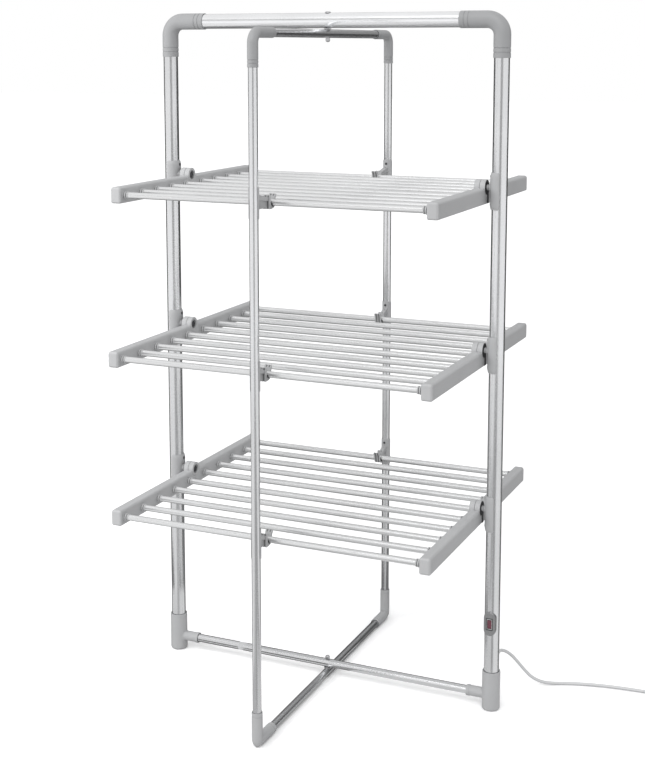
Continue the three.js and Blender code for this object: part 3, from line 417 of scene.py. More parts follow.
# %% The cord itself
route = bpy.data.curves.new("cord", "CURVE")
route.dimensions = "3D"
route.bevel_depth = CORD / 2 * MM
route.bevel_resolution = 5
route.use_fill_caps = True
spline = route.splines.new("POLY")
spline.points.add(len(cord_line) - 1)
for knot, point in zip(spline.points, cord_line):
    knot.co = (*(point * MM), 1)
spline.use_smooth = True
cord = bpy.data.objects.new("mains_cord", route)
bpy.context.scene.collection.objects.link(cord)
fitted(cord, "wide_frame", "cord_jacket", JACKET, "cord", "cord_coil")

# %% [markdown]
# The strain relief is a soft cone with rings cut into it, so that it bends in many
# places and kinks in none. A turned profile with square grooves shows that well.

# %% Strain relief
BOOT_Z, RING_SHARE, RING_DEPTH = 98.0, 0.45, 0.22


def relief_profile(start, end, root, tip, rings):
    """(along, radius) pairs of a tapered strain relief with ring grooves."""
    line = [(start, root - 0.4), (start + 0.4, root)]
    step = (end - start) / (rings + 1)
    half = step * RING_SHARE / 2
    for i in range(1, rings + 1):
        place, radius = start + i * step, root + (tip - root) * i / (rings + 1)
        groove = radius * (1 - RING_DEPTH)
        line += [(place - half, radius), (place - half * 0.7, groove),
                 (place + half * 0.7, groove), (place + half, radius)]
    return line + [(end - 0.5, tip), (end, tip - 0.3)]


boot_line = [(12.2, 6.0), *eased([(17.2, 7.0), (18.0, 7.0), (18.2, 5.9)], 0.5)[:-1]]
boot_line += relief_profile(18.3, BOOT_TIP_Y, 5.5, 4.0, 5)
boot = turned("strain_relief", (SIDE_X, 0, BOOT_Z), BACK, boot_line)
fitted(shaded(boot), "wide_frame", "grey_plastic", GREY, "cord_boot")
print("strain relief of", len(boot.data.polygons), "faces")

# %% [markdown]
# The plug is a generic moulded two-pin one. Its body is lofted from flat rounded
# outlines, each a little smaller towards the edge, and swells from the relief to a
# grip. The rails of the shelves will be lofted from such outlines as well.

# %% Plug body
def rounded_loop(y, centre, halves, radii, steps=6):
    """A rectangle in X and Z at y, with half sizes and a radius for each corner."""
    loop = []
    signs = ((1, 1), (-1, 1), (-1, -1), (1, -1))
    for quarter, ((sx, sz), radius) in enumerate(zip(signs, radii)):
        for i in range(steps + 1):
            turn = math.pi / 2 * (quarter + i / steps)
            x = sx * (halves[0] - radius) + radius * math.cos(turn)
            z = sz * (halves[1] - radius) + radius * math.sin(turn)
            loop.append(Vector((centre[0] + x, y, centre[1] + z)))
    return loop


PLUG_STATIONS = [
    (0, 6, 6), (4, 7.4, 7.2), (9, 10.5, 8.8), (15, 14.2, 10), (20, 16.2, 10.4), (25, 17, 10.5),
    (33, 17, 10.5), (35.6, 16.7, 10.3), (37.3, 15.6, 9.4), (38, 13.6, 7.8),
]
PLUG_CORNER, RELIEF_LENGTH = 7.5, 30
PLUG_X, PLUG_Z = cord_line[-1].x, cord_line[-1].z
relief_start = cord_line[-1].y + GAP
body_start = relief_start + RELIEF_LENGTH
body_loops = []
for along, half_width, half_height in PLUG_STATIONS:
    corner = min(PLUG_CORNER, half_width * 0.98, half_height * 0.98)
    body_loops.append(
        rounded_loop(body_start + along, (PLUG_X, PLUG_Z), (half_width, half_height), [corner] * 4))
plug = skin("plug_body", body_loops)
relief_line = relief_profile(0, RELIEF_LENGTH + 0.2, 4.0, 6.0, 6)
joined(plug, turned("plug_relief", (PLUG_X, relief_start, PLUG_Z), BACK, relief_line))
fitted(shaded(plug), "wide_frame", "cord_jacket", JACKET, "plug")
print("plug body of", len(plug.data.polygons), "faces")

# %% [markdown]
# Each pin has an insulating sleeve over its root and a rounded metal tip, two turned
# pieces end to end.

# %% Pins
PIN_ASIDE, PIN_ROOT = 9.5, 37.5
SLEEVE_LINE = [(0, 1.9), (9.6, 1.9), (10, 1.7)]
PIN_LINE = [(9.8, 2.2), (10, 2.4), (17.5, 2.4), (18.6, 2.1), (19.3, 1.3), (19.5, 0.5)]
pins = []
for side, place in ((-1, "left"), (1, "right")):
    root = (PLUG_X + side * PIN_ASIDE, body_start + PIN_ROOT, PLUG_Z)
    sleeve = turned(f"pin_sleeve_{place}", root, BACK, SLEEVE_LINE, 32)
    pin = turned(f"pin_{place}", root, BACK, PIN_LINE, 32)
    fitted(shaded(sleeve), "wide_frame", "dark_plastic", DARK)
    fitted(shaded(pin), "wide_frame", "steel", ZINC)
    pins += [sleeve, pin]
print("cord declared with", 2 + len(pins), "pieces")

# %% [markdown]
# The wide frame is a hoop of 30 mm tube. Its straight tubes are hollow skins with
# eased ends. The right upright has a window behind the switch and a hole for the
# cord, cut as a maker would drill and punch them.

# %% Wide tubes
SIDES = ((1, "right"), (-1, "left"))
WIDE_RADIUS, WIDE_WALL, WIDE_TOP, LOW_BAR_Z, SWITCH_Z = 15, 1.2, 1363.5, 29.5, 183.0
THIN_RADIUS, THIN_WALL = 8.5, 1
UPRIGHT_LOW, UPRIGHT_HIGH, TOP_BAR_HALF, LOW_BAR_HALF = 12.3, WIDE_TOP - 31, 326, 334.7
TUBE_EDGE, CORD_HOLE, WINDOW_HALVES = 0.2, 4.8, (6.8, 15.3)


def tube(name, start, end, radius, wall, sides=64):
    """A hollow tube with eased ends."""
    line = Vector(end) - Vector(start)
    half = [(0, radius - wall), (0, radius - TUBE_EDGE), (TUBE_EDGE, radius)]
    profile = half + [(line.length - along, out) for along, out in reversed(half)]
    return turned(name, start, line, profile, sides, hollow=True)


def block(name, low, high):
    (x0, y0, z0), (x1, y1, z1) = low, high
    loops = [[(x0, y0, z), (x1, y0, z), (x1, y1, z), (x0, y1, z)] for z in (z0, z1)]
    return skin(name, loops)


def drill(name, start, end, radius):
    line = Vector(end) - Vector(start)
    return turned(name, start, line, [(0, radius), (line.length, radius)], 32)


for side, place in SIDES:
    x = side * SIDE_X
    ends = (x, 0, UPRIGHT_LOW), (x, 0, UPRIGHT_HIGH)
    upright = tube(f"{place}_upright_tube", *ends, WIDE_RADIUS, WIDE_WALL)
    if place == "right":
        half_x, half_z = WINDOW_HALVES
        window = block("window", (x - half_x, -20, SWITCH_Z - half_z), (x + half_x, 0, SWITCH_Z + half_z))
        cut(upright, window, drill("cord hole", (x, 0, BOOT_Z), (x, 20, BOOT_Z), CORD_HOLE))
    fitted(shaded(upright), "wide_frame", "tube", TUBE["Z"], f"{place}_upright")
for place, half, z, radius, wall, finish in (
        ("top", TOP_BAR_HALF, WIDE_TOP, WIDE_RADIUS, WIDE_WALL, LIT_TOP_TUBE),
        ("bottom", LOW_BAR_HALF, LOW_BAR_Z, THIN_RADIUS, THIN_WALL, TUBE["X"])):
    bar = tube(f"wide_{place}_bar_tube", (-half, 0, z), (half, 0, z), radius, wall)
    fitted(shaded(bar), "wide_frame", "tube", finish, f"wide_{place}_bar")
print("upright of", len(upright.data.polygons), "faces")

# %% [markdown]
# A socket elbow is a bent sleeve that the tubes are pushed into. The sleeve is swept
# along a quarter bend: hoops stand square to the line, and their radius changes near
# the mouths, where two rings are moulded into the plastic. The same recipe, with
# smaller numbers, makes the elbows of the narrow frame.

# %% Bent sockets
WIDE_SOCKET = {"bend": 29, "radius": 16.5, "bore": 15.3, "rings": (10.2, 18.6), "width": 2, "depth": 0.85}
THIN_SOCKET = {"bend": 20, "radius": 10, "bore": 8.8, "rings": (7.2, 13.2), "width": 1.7, "depth": 0.8}
WIDE_DROP, WIDE_REACH, SOCKET_STOP, BEND_STEPS = 72, 82, 1.7, 16


def quarter_bend(start, corner, end, bend):
    """Where each distance along a rounded right angle lies, its length, and where the bend is."""
    start, corner, end = Vector(start), Vector(corner), Vector(end)
    before, after = (corner - start).normalized(), (end - corner).normalized()
    first, last = (corner - start).length - bend, (end - corner).length - bend
    length = first + bend * math.pi / 2 + last
    centre = corner - before * bend + after * bend

    def place(distance):
        if distance <= first:
            return start + before * distance, before
        if distance >= length - last:
            return end - after * (length - distance), after
        turn = (distance - first) / bend
        out = before * math.sin(turn) - after * math.cos(turn)
        return centre + out * bend, before * math.cos(turn) + after * math.sin(turn)

    return place, length, first, length - last


def ringed_mouth(radius, bore, socket, rings, width, depth):
    """(distance from the mouth, radius) pairs from the end of the bore out to the sleeve."""
    lead = bore + (radius - bore) * 0.3
    line = [(socket, bore), (2.2, bore), (1.8, lead), (0.12, lead), (0, lead + 0.1),
            (0, radius - 0.45), (0.12, radius - 0.14), (0.45, radius)]
    for ring in rings:
        line += [(ring - width / 2, radius), (ring - width * 0.3, radius - depth),
                 (ring + width * 0.3, radius - depth), (ring + width / 2, radius)]
    return line


def bent_socket(name, start, corner, end, across, bend, radius, bore, rings, width, depth):
    """A sleeve round a bend, with a bore and rings at both of its mouths."""
    place, length, bend_start, bend_end = quarter_bend(start, corner, end, bend)
    first = ringed_mouth(radius, bore, bend_start - SOCKET_STOP, rings, width, depth)
    last = ringed_mouth(radius, bore, length - bend_end - SOCKET_STOP, rings, width, depth)
    arc = bend_end - bend_start
    stations = first + [(bend_start + arc * i / BEND_STEPS, radius) for i in range(BEND_STEPS + 1)]
    stations += [(length - distance, out) for distance, out in reversed(last)]
    loops = []
    for distance, out in stations:
        point, along = place(distance)
        loops.append(hoop(point, along, out, 48, across))
    return skin(name, loops)


for side, place in SIDES:
    x = side * SIDE_X
    line = (x, 0, WIDE_TOP - WIDE_DROP), (x, 0, WIDE_TOP), (x - side * WIDE_REACH, 0, WIDE_TOP)
    elbow = bent_socket(f"{place}_elbow_socket", *line, BACK, **WIDE_SOCKET)
    fitted(shaded(elbow), "wide_frame", "grey_plastic", SHADED_ELBOW_GREY, f"{place}_elbow")
print("elbow of", len(elbow.data.polygons), "faces")

# %% [markdown]
# The T-shaped foot holds the upright in a tall sleeve and the bottom bar in a short
# arm. Its sleeve is a turned piece with a rounded base. The arm's first loops follow
# the round of the sleeve, each a little further out and a little smaller, which makes
# the soft fillet of a moulding without any cleaning up by hand.

# %% T-shaped feet
FOOT_RADIUS, FOOT_BORE, FOOT_MOUTH, FOOT_TOP = 18.0, 15.3, 15.9, 80
ARM_RADIUS, ARM_BORE, ARM_END, FILLET = 11.25, 8.8, SIDE_X - 50, 2.4
ARM_NECK = ARM_RADIUS - 0.7
ARM_MOUTH = ((6.6, ARM_NECK), (6, ARM_RADIUS), (0.6, ARM_RADIUS), (0.15, ARM_RADIUS - 0.2),
             (0, ARM_RADIUS - 0.6), (0, 9.6), (2, 9.5), (2.4, ARM_BORE), (28, ARM_BORE))


def foot_arm(side):
    """The arm: loops that hug the sleeve, a fillet, a neck and a mouth with a bore for the bar."""
    turns = [2 * math.pi * i / 48 for i in range(48)]

    def wrapped(radius, sleeve, away):
        line = [(radius * math.cos(t), radius * math.sin(t)) for t in turns]
        return [Vector((side * (SIDE_X - math.sqrt(sleeve**2 - y**2) - away), y, LOW_BAR_Z + z))
                for y, z in line]

    def level(x, radius):
        return [Vector((side * x, radius * math.cos(t), LOW_BAR_Z + radius * math.sin(t))) for t in turns]

    loops = [wrapped(radius, 16.6, 0) for radius in (0.5, 4, 8, 11, ARM_NECK + FILLET)]
    loops += [wrapped(ARM_NECK + FILLET * (1 - math.sin(t)), FOOT_RADIUS - 0.05, FILLET * (1 - math.cos(t)))
              for t in quarter_turns(6)]
    return skin("arm", loops + [level(ARM_END + x, radius) for x, radius in ARM_MOUTH])


FOOT_LINE = eased([(0, 8), (0, FOOT_RADIUS), (40, FOOT_RADIUS)], 5, 8)
FOOT_LINE += eased([(40, FOOT_RADIUS), (FOOT_TOP, FOOT_RADIUS), (FOOT_TOP, FOOT_MOUTH),
                    (FOOT_TOP - 3, FOOT_MOUTH), (FOOT_TOP - 3.4, FOOT_BORE), (12, FOOT_BORE)], 0.7)[1:]
for side, place in SIDES:
    foot = turned(f"{place}_foot_sleeve", (side * SIDE_X, 0, 0), UP, FOOT_LINE, 64)
    joined(foot, foot_arm(side))
    fitted(shaded(foot), "wide_frame", "grey_plastic", GREY, f"{place}_foot")
print("foot of", len(foot.data.polygons), "faces")

# %% [markdown]
# The narrow frame is the same idea in thinner tube. It turns inside the wide frame on
# one upright line, held by a bolt at the top and one at the bottom, so the airer folds
# flat. Every piece of it rides on the narrow_frame body.

# %% Narrow frame
ENDS = ((1, "back"), (-1, "front"))
THIN_Y, THIN_TOP, THIN_LOW, POST_LOW, POST_HIGH = 330.0, 1338.0, 10.0, 25, 1316
THIN_TOP_HALF, THIN_LOW_HALF, THIN_DROP, THIN_REACH, PIVOT_HOLE = 308, 315, 62, 78, 3.3

for place, half, z in (("top", THIN_TOP_HALF, THIN_TOP), ("bottom", THIN_LOW_HALF, THIN_LOW)):
    bar = tube(f"narrow_{place}_bar_tube", (0, -half, z), (0, half, z), THIN_RADIUS, THIN_WALL)
    cut(bar, drill("pivot hole", (0, 0, z - 20), (0, 0, z + 20), PIVOT_HOLE))
    fitted(shaded(bar), "narrow_frame", "tube", TUBE["Y"], f"narrow_{place}_bar")
for side, place in ENDS:
    y = side * THIN_Y
    post = tube(f"{place}_upright_tube", (0, y, POST_LOW), (0, y, POST_HIGH), THIN_RADIUS, THIN_WALL)
    fitted(shaded(post), "narrow_frame", "tube", TUBE["Z"], f"{place}_upright")
    line = (0, y, THIN_TOP - THIN_DROP), (0, y, THIN_TOP), (0, y - side * THIN_REACH, THIN_TOP)
    elbow = bent_socket(f"{place}_elbow_socket", *line, RIGHT, **THIN_SOCKET)
    fitted(shaded(elbow), "narrow_frame", "grey_plastic", SHADED_ELBOW_GREY, f"{place}_elbow")
print("post of", len(post.data.polygons), "faces")

# %% [markdown]
# Its feet are no bends. A straight sleeve runs down into a long rounded tip on the
# floor, and an arm of its own takes the bottom bar. Both are turned and joined, and
# all that would sink into the floor is pressed flat, which gives the foot its base.

# %% Tipped feet
TIP_RADIUS, FOOT_RING = 10.5, {"rings": (7.5,), "width": 1.6, "depth": 0.8}
SLEEVE_SHAPE = {"start": 0, "length": 17, "mouth_at": 70, "bore_depth": 45.3, "steps": 14}
ARM_SHAPE = {"start": 2, "length": 8.5, "mouth_at": 62, "bore_depth": 47.3, "steps": 8}


def tipped(start, length, mouth_at, bore_depth, steps):
    """A profile with a rounded tip of this length from start, and a ringed mouth at mouth_at."""
    tip = [(start + length * (1 - math.cos(t)), TIP_RADIUS * math.sin(t)) for t in quarter_turns(steps)[1:]]
    mouth = ringed_mouth(TIP_RADIUS, ARM_BORE, bore_depth, **FOOT_RING)
    return tip + [(mouth_at - distance, out) for distance, out in reversed(mouth)]


def tipped_foot(name, y, side):
    foot = turned(name, (0, y, 0), UP, tipped(**SLEEVE_SHAPE), 48)
    joined(foot, turned("arm", (0, y, THIN_LOW), (0, -side, 0), tipped(**ARM_SHAPE), 48))
    for point in foot.data.vertices:
        point.co.z = max(point.co.z, 0)
    return foot


for side, place in ENDS:
    foot = tipped_foot(f"{place}_foot_socket", side * THIN_Y, side)
    fitted(shaded(foot), "narrow_frame", "grey_plastic", GREY, f"{place}_foot")
print("tipped foot of", len(foot.data.polygons), "faces")

# %% [markdown]
# The pivot bolts have a low domed head with a hexagon socket, a washer between the
# two bars and a cap nut. Bolt, washer and nut are separate small pieces, because the
# light catches each of their edges on its own.

# %% Pivot bolts
WASHER_RADIUS, WASHER_HOLE = 7, 3.1
LOW_NUT_SEAT, TOP_NUT_SEAT, LOW_GAP, TOP_GAP = 38.3, 1329.2, (18.8, 20.7), (1346.8, 1348.2)
HEAD_LINE = [(1325, 3), (1378.8, 3), (1378.8, 5.6), (1379.2, 6), (1379.7, 5.8), (1380.5, 5), (1381, 3.9),
             (1381.2, 2.6)]
SHANK_LINE = [(1.5, 2.7), (1.8, 3), (42, 3)]


def hexagon(name, start, axis, profile):
    return turned(name, start, axis, profile, 6)


def cap_nut(name, z, up):
    nut = hexagon(name, (0, 0, z), (0, 0, up), [(0, 4.5), (0.4, 5), (4.6, 5), (5, 4.6)])
    dome = [(3, 4.2)] + [(5 + 3 * math.sin(t), 4.2 * math.cos(t)) for t in quarter_turns(8)[:-1]]
    return joined(nut, turned("dome", (0, 0, z), (0, 0, up), dome, 32))


def washer(name, low, high):
    half = [(0, WASHER_HOLE), (0, WASHER_RADIUS - 0.3), (0.3, WASHER_RADIUS)]
    line = half + [(high - low - along, out) for along, out in reversed(half)]
    return turned(name, (0, 0, low), UP, line, 48, hollow=True)


bolt = turned("top_pivot_bolt_head", (0, 0, 0), UP, HEAD_LINE, 48)
cut(bolt, hexagon("socket", (0, 0, 1380), UP, [(0, 2.1), (4, 2.1)]))
fitted(shaded(bolt), "wide_frame", "steel", ZINC, "top_pivot_bolt")
shank = turned("bottom_pivot_bolt_shank", (0, 0, 0), UP, SHANK_LINE, 32)
fitted(shaded(shank), "wide_frame", "steel", ZINC, "bottom_pivot_bolt")
loose = [cap_nut("top_pivot_nut", TOP_NUT_SEAT, -1), cap_nut("bottom_pivot_nut", LOW_NUT_SEAT, 1),
         washer("top_pivot_washer", *TOP_GAP), washer("bottom_pivot_washer", *LOW_GAP)]
for piece in loose:
    fitted(shaded(piece), "wide_frame", "steel", ZINC)
print("2 bolts with", len(loose), "nuts and washers")

# %% [markdown]
# Half a tier is two moulded rails with five bars between them. A rail is a long block
# with soft edges: rounded rectangles lofted along Y, with the last few shrinking into
# a rounded end. A knuckle stands on its hub end, half as wide as the rail, so that the
# knuckles of two halves sit side by side on one bolt. It is joined to the rail, and
# the room that the other knuckle sweeps is cut away.

# %% Rails with their knuckles
RAIL_IN, RAIL_OUT, RAIL_LOW, RAIL_TOP = 310.0, 332.0, -32.4, -0.9
BAR_LEVEL, END_ROUND, KNUCKLE, RAIL_CORNERS = -16.65, 4.5, 14.8, (5, 5, 3.5, 3.5)
INNER_LANE, OUTER_LANE = (310.0, 320.7), (321.3, 332.0)
BOLT_HOLE, RECESS_RADIUS, RECESS_DEPTH, SWEEP_ROOM, THROUGH = 4.3, 9.5, 5.5, (0.6, 0.7), 5
FIRST_BAR, BARS, BEYOND_LAST_BAR = 34.0, 5, 16
PITCHES = {"lower": 63.25, "middle": 63.25, "upper": 58.0}
LEVELS = {"lower": 395.0, "middle": 712.5, "upper": 1030.0}


def rail_loop(side, y, inset):
    """The rail's outline at y, drawn in by inset."""
    centre = (RAIL_IN + RAIL_OUT) / 2, (RAIL_LOW + RAIL_TOP) / 2
    halves = (RAIL_OUT - RAIL_IN) / 2 - inset, (RAIL_TOP - RAIL_LOW) / 2 - inset
    loop = rounded_loop(y, centre, halves, [max(radius - inset, 0.8) for radius in RAIL_CORNERS])
    return [Vector((side * point.x, y, point.z)) for point in loop]


def across_x(name, side, x0, x1, radius, ease=0.0, sides=64):
    """A disc or drill along X on the hub line, mirrored for the left side."""
    profile = [(x0, radius), (x1, radius)]
    if ease:
        profile = [(x0, radius - ease), (x0 + ease * 0.3, radius - ease * 0.3), (x0 + ease, radius),
                   (x1 - ease, radius), (x1 - ease * 0.3, radius - ease * 0.3), (x1, radius - ease)]
    return turned(name, (0, 0, 0), (side, 0, 0), profile, sides, across=BACK)


def rail(name, side, pitch, knuckle, other):
    """A rail with its knuckle in one lane, and the other lane cleared for the other knuckle."""
    end = FIRST_BAR + (BARS - 1) * pitch + BEYOND_LAST_BAR
    room, round_room = SWEEP_ROOM
    loops = [rail_loop(side, 0.5, 0.6), rail_loop(side, 1.1, 0)]
    loops += [rail_loop(side, end - END_ROUND * (1 - math.sin(t)), END_ROUND * (1 - math.cos(t)))
              for t in quarter_turns(8)]
    body = skin(name, loops)
    cut(body, across_x("sweep", side, other[0] - room, other[1] + room, KNUCKLE + round_room))
    joined(body, across_x("knuckle", side, *knuckle, KNUCKLE, 0.6))
    cut(body, across_x("bolt hole", side, RAIL_IN - THROUGH, RAIL_OUT + THROUGH, BOLT_HOLE))
    if knuckle == INNER_LANE:
        cut(body, across_x("recess", side, RAIL_IN - THROUGH - 1, RAIL_IN + RECESS_DEPTH, RECESS_RADIUS))
    return shaded(body, 30)


rails = {}
for pitch in set(PITCHES.values()):
    rails[pitch] = (rail("carrying rail", -1, pitch, INNER_LANE, OUTER_LANE),
                    rail("free rail", 1, pitch, OUTER_LANE, INNER_LANE))
print("rails:", {pitch: [len(piece.data.polygons) for piece in pair] for pitch, pair in rails.items()})

# %% [markdown]
# The bars are thin tubes, and each ends in a turned ferrule with two grooves round it.
# The grooves are about two millimetres wide, so a thin dark ring lies in each one, as
# its shade. One profile is turned at every end of every bar, then all of them are
# gathered into one mesh per half, because nobody will move them one by one.

# %% Bars and ferrules
BAR_RADIUS, BAR_WALL, BAR_ENDS, FERRULE_BORE = 6, 1, (-312.2, 313.7), 6.2
FERRULE_LINE = [(-1.5, FERRULE_BORE), *eased([
    (-1.5, 7.6), (0.8, 7.6), (1, 6.2), (3.2, 6.2), (3.4, 7.9), (5.6, 7.9), (5.8, 6.2), (7.8, 6.2),
    (8, 7.5), (9.8, 7.3), (10.4, FERRULE_BORE)], 0.25, 2)]
GROOVE_LINES = [[(low, FERRULE_BORE), (low, 6.45), (high, 6.45), (high, FERRULE_BORE)]
                for low, high in ((1.3, 2.9), (6.1, 7.5))]


def gathered(name, pieces):
    """All pieces in one mesh."""
    shape = bmesh.new()
    for piece in pieces:
        shape.from_mesh(piece.data)
        bpy.data.objects.remove(piece)
    whole = mesh_piece(name, [], [])
    shape.to_mesh(whole.data)
    shape.free()
    return whole


def bar_places(pitch):
    return [FIRST_BAR + i * pitch for i in range(BARS)]


def half_bars(pitch):
    ends = [[(x, y, BAR_LEVEL) for x in BAR_ENDS] for y in bar_places(pitch)]
    return shaded(gathered("bars", [tube("bar", *pair, BAR_RADIUS, BAR_WALL, 40) for pair in ends]))


def on_bar_ends(name, pitch, profiles):
    """The profiles, turned round both ends of every bar."""
    return shaded(gathered(name, [
        turned("ring", (side * RAIL_IN, y, BAR_LEVEL), (-side, 0, 0), profile, 40, hollow=True)
        for y in bar_places(pitch) for side in (-1, 1) for profile in profiles]))


bars, ferrules, grooves = {}, {}, {}
for pitch in rails:
    bars[pitch] = half_bars(pitch)
    ferrules[pitch] = on_bar_ends("ferrules", pitch, [FERRULE_LINE])
    grooves[pitch] = on_bar_ends("grooves", pitch, GROOVE_LINES)
print("five bars of", len(bars[pitch].data.polygons), "faces")

# %% [markdown]
# A thin, flat dark disc with a tail down the rail's end lies round the hub bolt on the
# outer face of the free rail. It is painted shade, for the dark gap between the rail and
# the saddle. Then rails, bars, ferrules and these shades are copied to their six places:
# a front half is the back one turned half way round the pivot line. Only what differs
# from tier to tier is made more than once.

# %% Six halves
SHADE_FACE, SHADE_THICK = RAIL_OUT + 0.02, 0.23
HALVES = (("back", Matrix.Identity(4)), ("front", Matrix.Rotation(math.pi, 4, "Z")))


def pivot_shade():
    """Painted shade: a dark disc and its tail, on the outer face of the back right rail."""
    line = [(0, 4.4), (0, 14), (0.1, 14.2), (SHADE_THICK, 14), (SHADE_THICK, 4.4)]
    disc = turned("pivot shade", (0, 0, 0), RIGHT, [(SHADE_FACE + x, out) for x, out in line], 64, hollow=True)
    return shaded(joined(disc, block("tail", (SHADE_FACE, 0.7, -31), (SHADE_FACE + SHADE_THICK, 11, -6))))


def copied(piece, name):
    """A copy of piece with a mesh of its own."""
    twin = piece.copy()
    twin.data = piece.data.copy()
    twin.name = twin.data.name = name
    bpy.context.scene.collection.objects.link(twin)
    return twin


# The disc and tail in cap are painted shade of the gap between rail and saddle.
cap = pivot_shade()
for tier, level in LEVELS.items():
    pitch = PITCHES[tier]
    carrying, free = rails[pitch]
    for place, turn in HALVES:
        half = f"{tier}_{place}"
        where = Matrix.Translation((0, 0, (level - BAR_LEVEL) * MM)) @ turn
        placed(where, f"{half}_half", [
            (copied(carrying, f"{half}_carrying_rail"), "rail_plastic", RAIL, f"{half}_bars_and_rail"),
            (copied(free, f"{half}_pushed_on_rail"), "rail_plastic", RAIL, f"{half}_free_rail"),
            (copied(cap, f"{half}_pivot_shade"), "dark_bolt", BLACKENED),
            (copied(bars[pitch], f"{half}_bars"), "bar", BAR),
            (copied(ferrules[pitch], f"{half}_ferrules"), "rail_plastic", FERRULE),
            (copied(grooves[pitch], f"{half}_ferrule_grooves"), "dark_plastic", GROOVE),
        ])
        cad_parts[f"{half}_heating_wire"].material_slots[0].material = SLEEVE
for piece in [cap, *(piece for pair in rails.values() for piece in pair),
              *bars.values(), *ferrules.values(), *grooves.values()]:
    bpy.data.objects.remove(piece)
print("six halves fitted")

# %% [markdown]
# Each hub turns on a shoulder bolt, whose hexagon head is sunk in the inner knuckle.
# Behind the rails, a saddle hugs the upright: a half shell that thins out towards its
# ends, with rounded corners, a round boss for the bolt and two rivets.

# %% Hub bolts and saddles
SADDLE_LOW, SADDLE_HIGH, SADDLE_IN, SADDLE_WALL, SADDLE_EDGE = -42.0, 29.0, 15.3, 3.0, 1.2
SADDLE_HUG, SADDLE_TAPER, SADDLE_CORNER = 102, 8, 3.5
RIVET_RADIUS, RIVET_RISE, UPPER_RIVET_Z, LOWER_RIVET_Z = 3.6, 1.7, 21, -33
SADDLE_STATIONS = (0, 0.3, 0.8, 1.5, 2.4, 3.5, 5.5, SADDLE_TAPER)
BOSS_LINE = [(RAIL_OUT + 0.3, 5.2), (RAIL_OUT + 0.6, 5.5), (RAIL_OUT + 4, 5.8), (RAIL_OUT + 6, 8),
             (SIDE_X - SADDLE_IN - 0.3, 8)]


def saddle(name, side):
    """A shell round the upright: thin at its ends, with a boss and a hole for the hub bolt."""
    heights = [SADDLE_LOW + s for s in SADDLE_STATIONS] + [SADDLE_HIGH - s for s in SADDLE_STATIONS[::-1]]
    loops = []
    for z in heights:
        inside = min(z - SADDLE_LOW, SADDLE_HIGH - z)
        wall = SADDLE_EDGE + (SADDLE_WALL - SADDLE_EDGE) * min(inside / SADDLE_TAPER, 1) ** 0.8
        corner = 1 - math.sqrt(1 - (1 - min(inside / SADDLE_CORNER, 1)) ** 2)
        spread = math.radians(SADDLE_HUG - 11 * corner)
        turns = [spread * (2 * i / 36 - 1) for i in range(37)]
        outer = [(SADDLE_IN + wall * (1 - 0.35 * abs(t / spread) ** 10), t) for t in turns]
        line = outer + [(SADDLE_IN, t) for t in reversed(turns)]
        loops.append([Vector((side * (SIDE_X - r * math.cos(t)), r * math.sin(t), z)) for r, t in line])
    body = joined(skin(name, loops), turned("boss", (0, 0, 0), (side, 0, 0), BOSS_LINE, 48))
    end = SIDE_X - SADDLE_IN - 1.6
    return shaded(cut(body, across_x("bolt hole", side, RAIL_OUT - THROUGH, end, BOLT_HOLE, 0, 48)), 30)


def hub_bolt(name, side):
    """A hexagon head with a dimple, and a shank, all by their distance from the pivot line."""
    axis = (side, 0, 0)
    bolt = hexagon(name, (0, 0, 0), axis, [(310.8, 6.1), (311.4, 7), (315.2, 7)])
    joined(bolt, turned("shank", (0, 0, 0), axis, [(314, 4), (339.3, 4), (339.8, 3.5)], 32))
    return shaded(cut(bolt, turned("dimple", (0, 0, 0), axis, [(310, 4.4), (311.1, 3.6)], 32)), 25)


def rivet(name, side, z):
    face = SIDE_X - SADDLE_IN - 2.2
    dome = [(-1, RIVET_RADIUS)]
    dome += [(RIVET_RISE * math.sin(t), RIVET_RADIUS * math.cos(t)) for t in quarter_turns(6)[:-1]]
    return shaded(turned(name, (side * face, 0, z), (-side, 0, 0), dome, 32))


for side, place in SIDES:
    for tier, level in LEVELS.items():
        name = f"{tier}_{place}"
        pieces = [
            (saddle(f"{name}_saddle_shell", side), "grey_plastic", GREY, f"{name}_saddle"),
            (hub_bolt(f"{name}_hub_bolt_hexagon", side), "dark_bolt", BLACKENED, f"{name}_hub_bolt"),
            (rivet(f"{name}_upper_rivet", side, UPPER_RIVET_Z), "dark_bolt", BLACKENED),
            (rivet(f"{name}_lower_rivet", side, LOWER_RIVET_Z), "dark_bolt", BLACKENED),
        ]
        placed(Matrix.Translation((0, 0, (level - BAR_LEVEL) * MM)), "wide_frame", pieces)
print("saddle of", len(pieces[0][0].data.polygons), "faces")

# %% [markdown]
# A catch is clipped on each thin upright, with an arm that ends in an open cradle,
# where the outermost bar of the half drops in and rests. The cradle is one flat
# outline, sawn to a width and bevelled. Three ribs are the same outline grown a
# little and sawn thinner, with dark bands between them for the shade of the hollows.

# %% Cradles
CRADLE_IN, CRADLE_OUT, CRADLE_FOOT, CRADLE_HALF = 7.2, 9.6, -10.5, 6.6
ARC_STEPS = 16
RIB_BANDS, SHADE_BANDS = ((-7.2, -5), (-1.4, 0.8), (4.4, 6.9)), ((-4.9, -1.5), (0.9, 4.3))
SEAT_SHADE_OUT, SEAT_SHADE_IN, SEAT_SHADE_HALF = 7.15, 6.3, 9


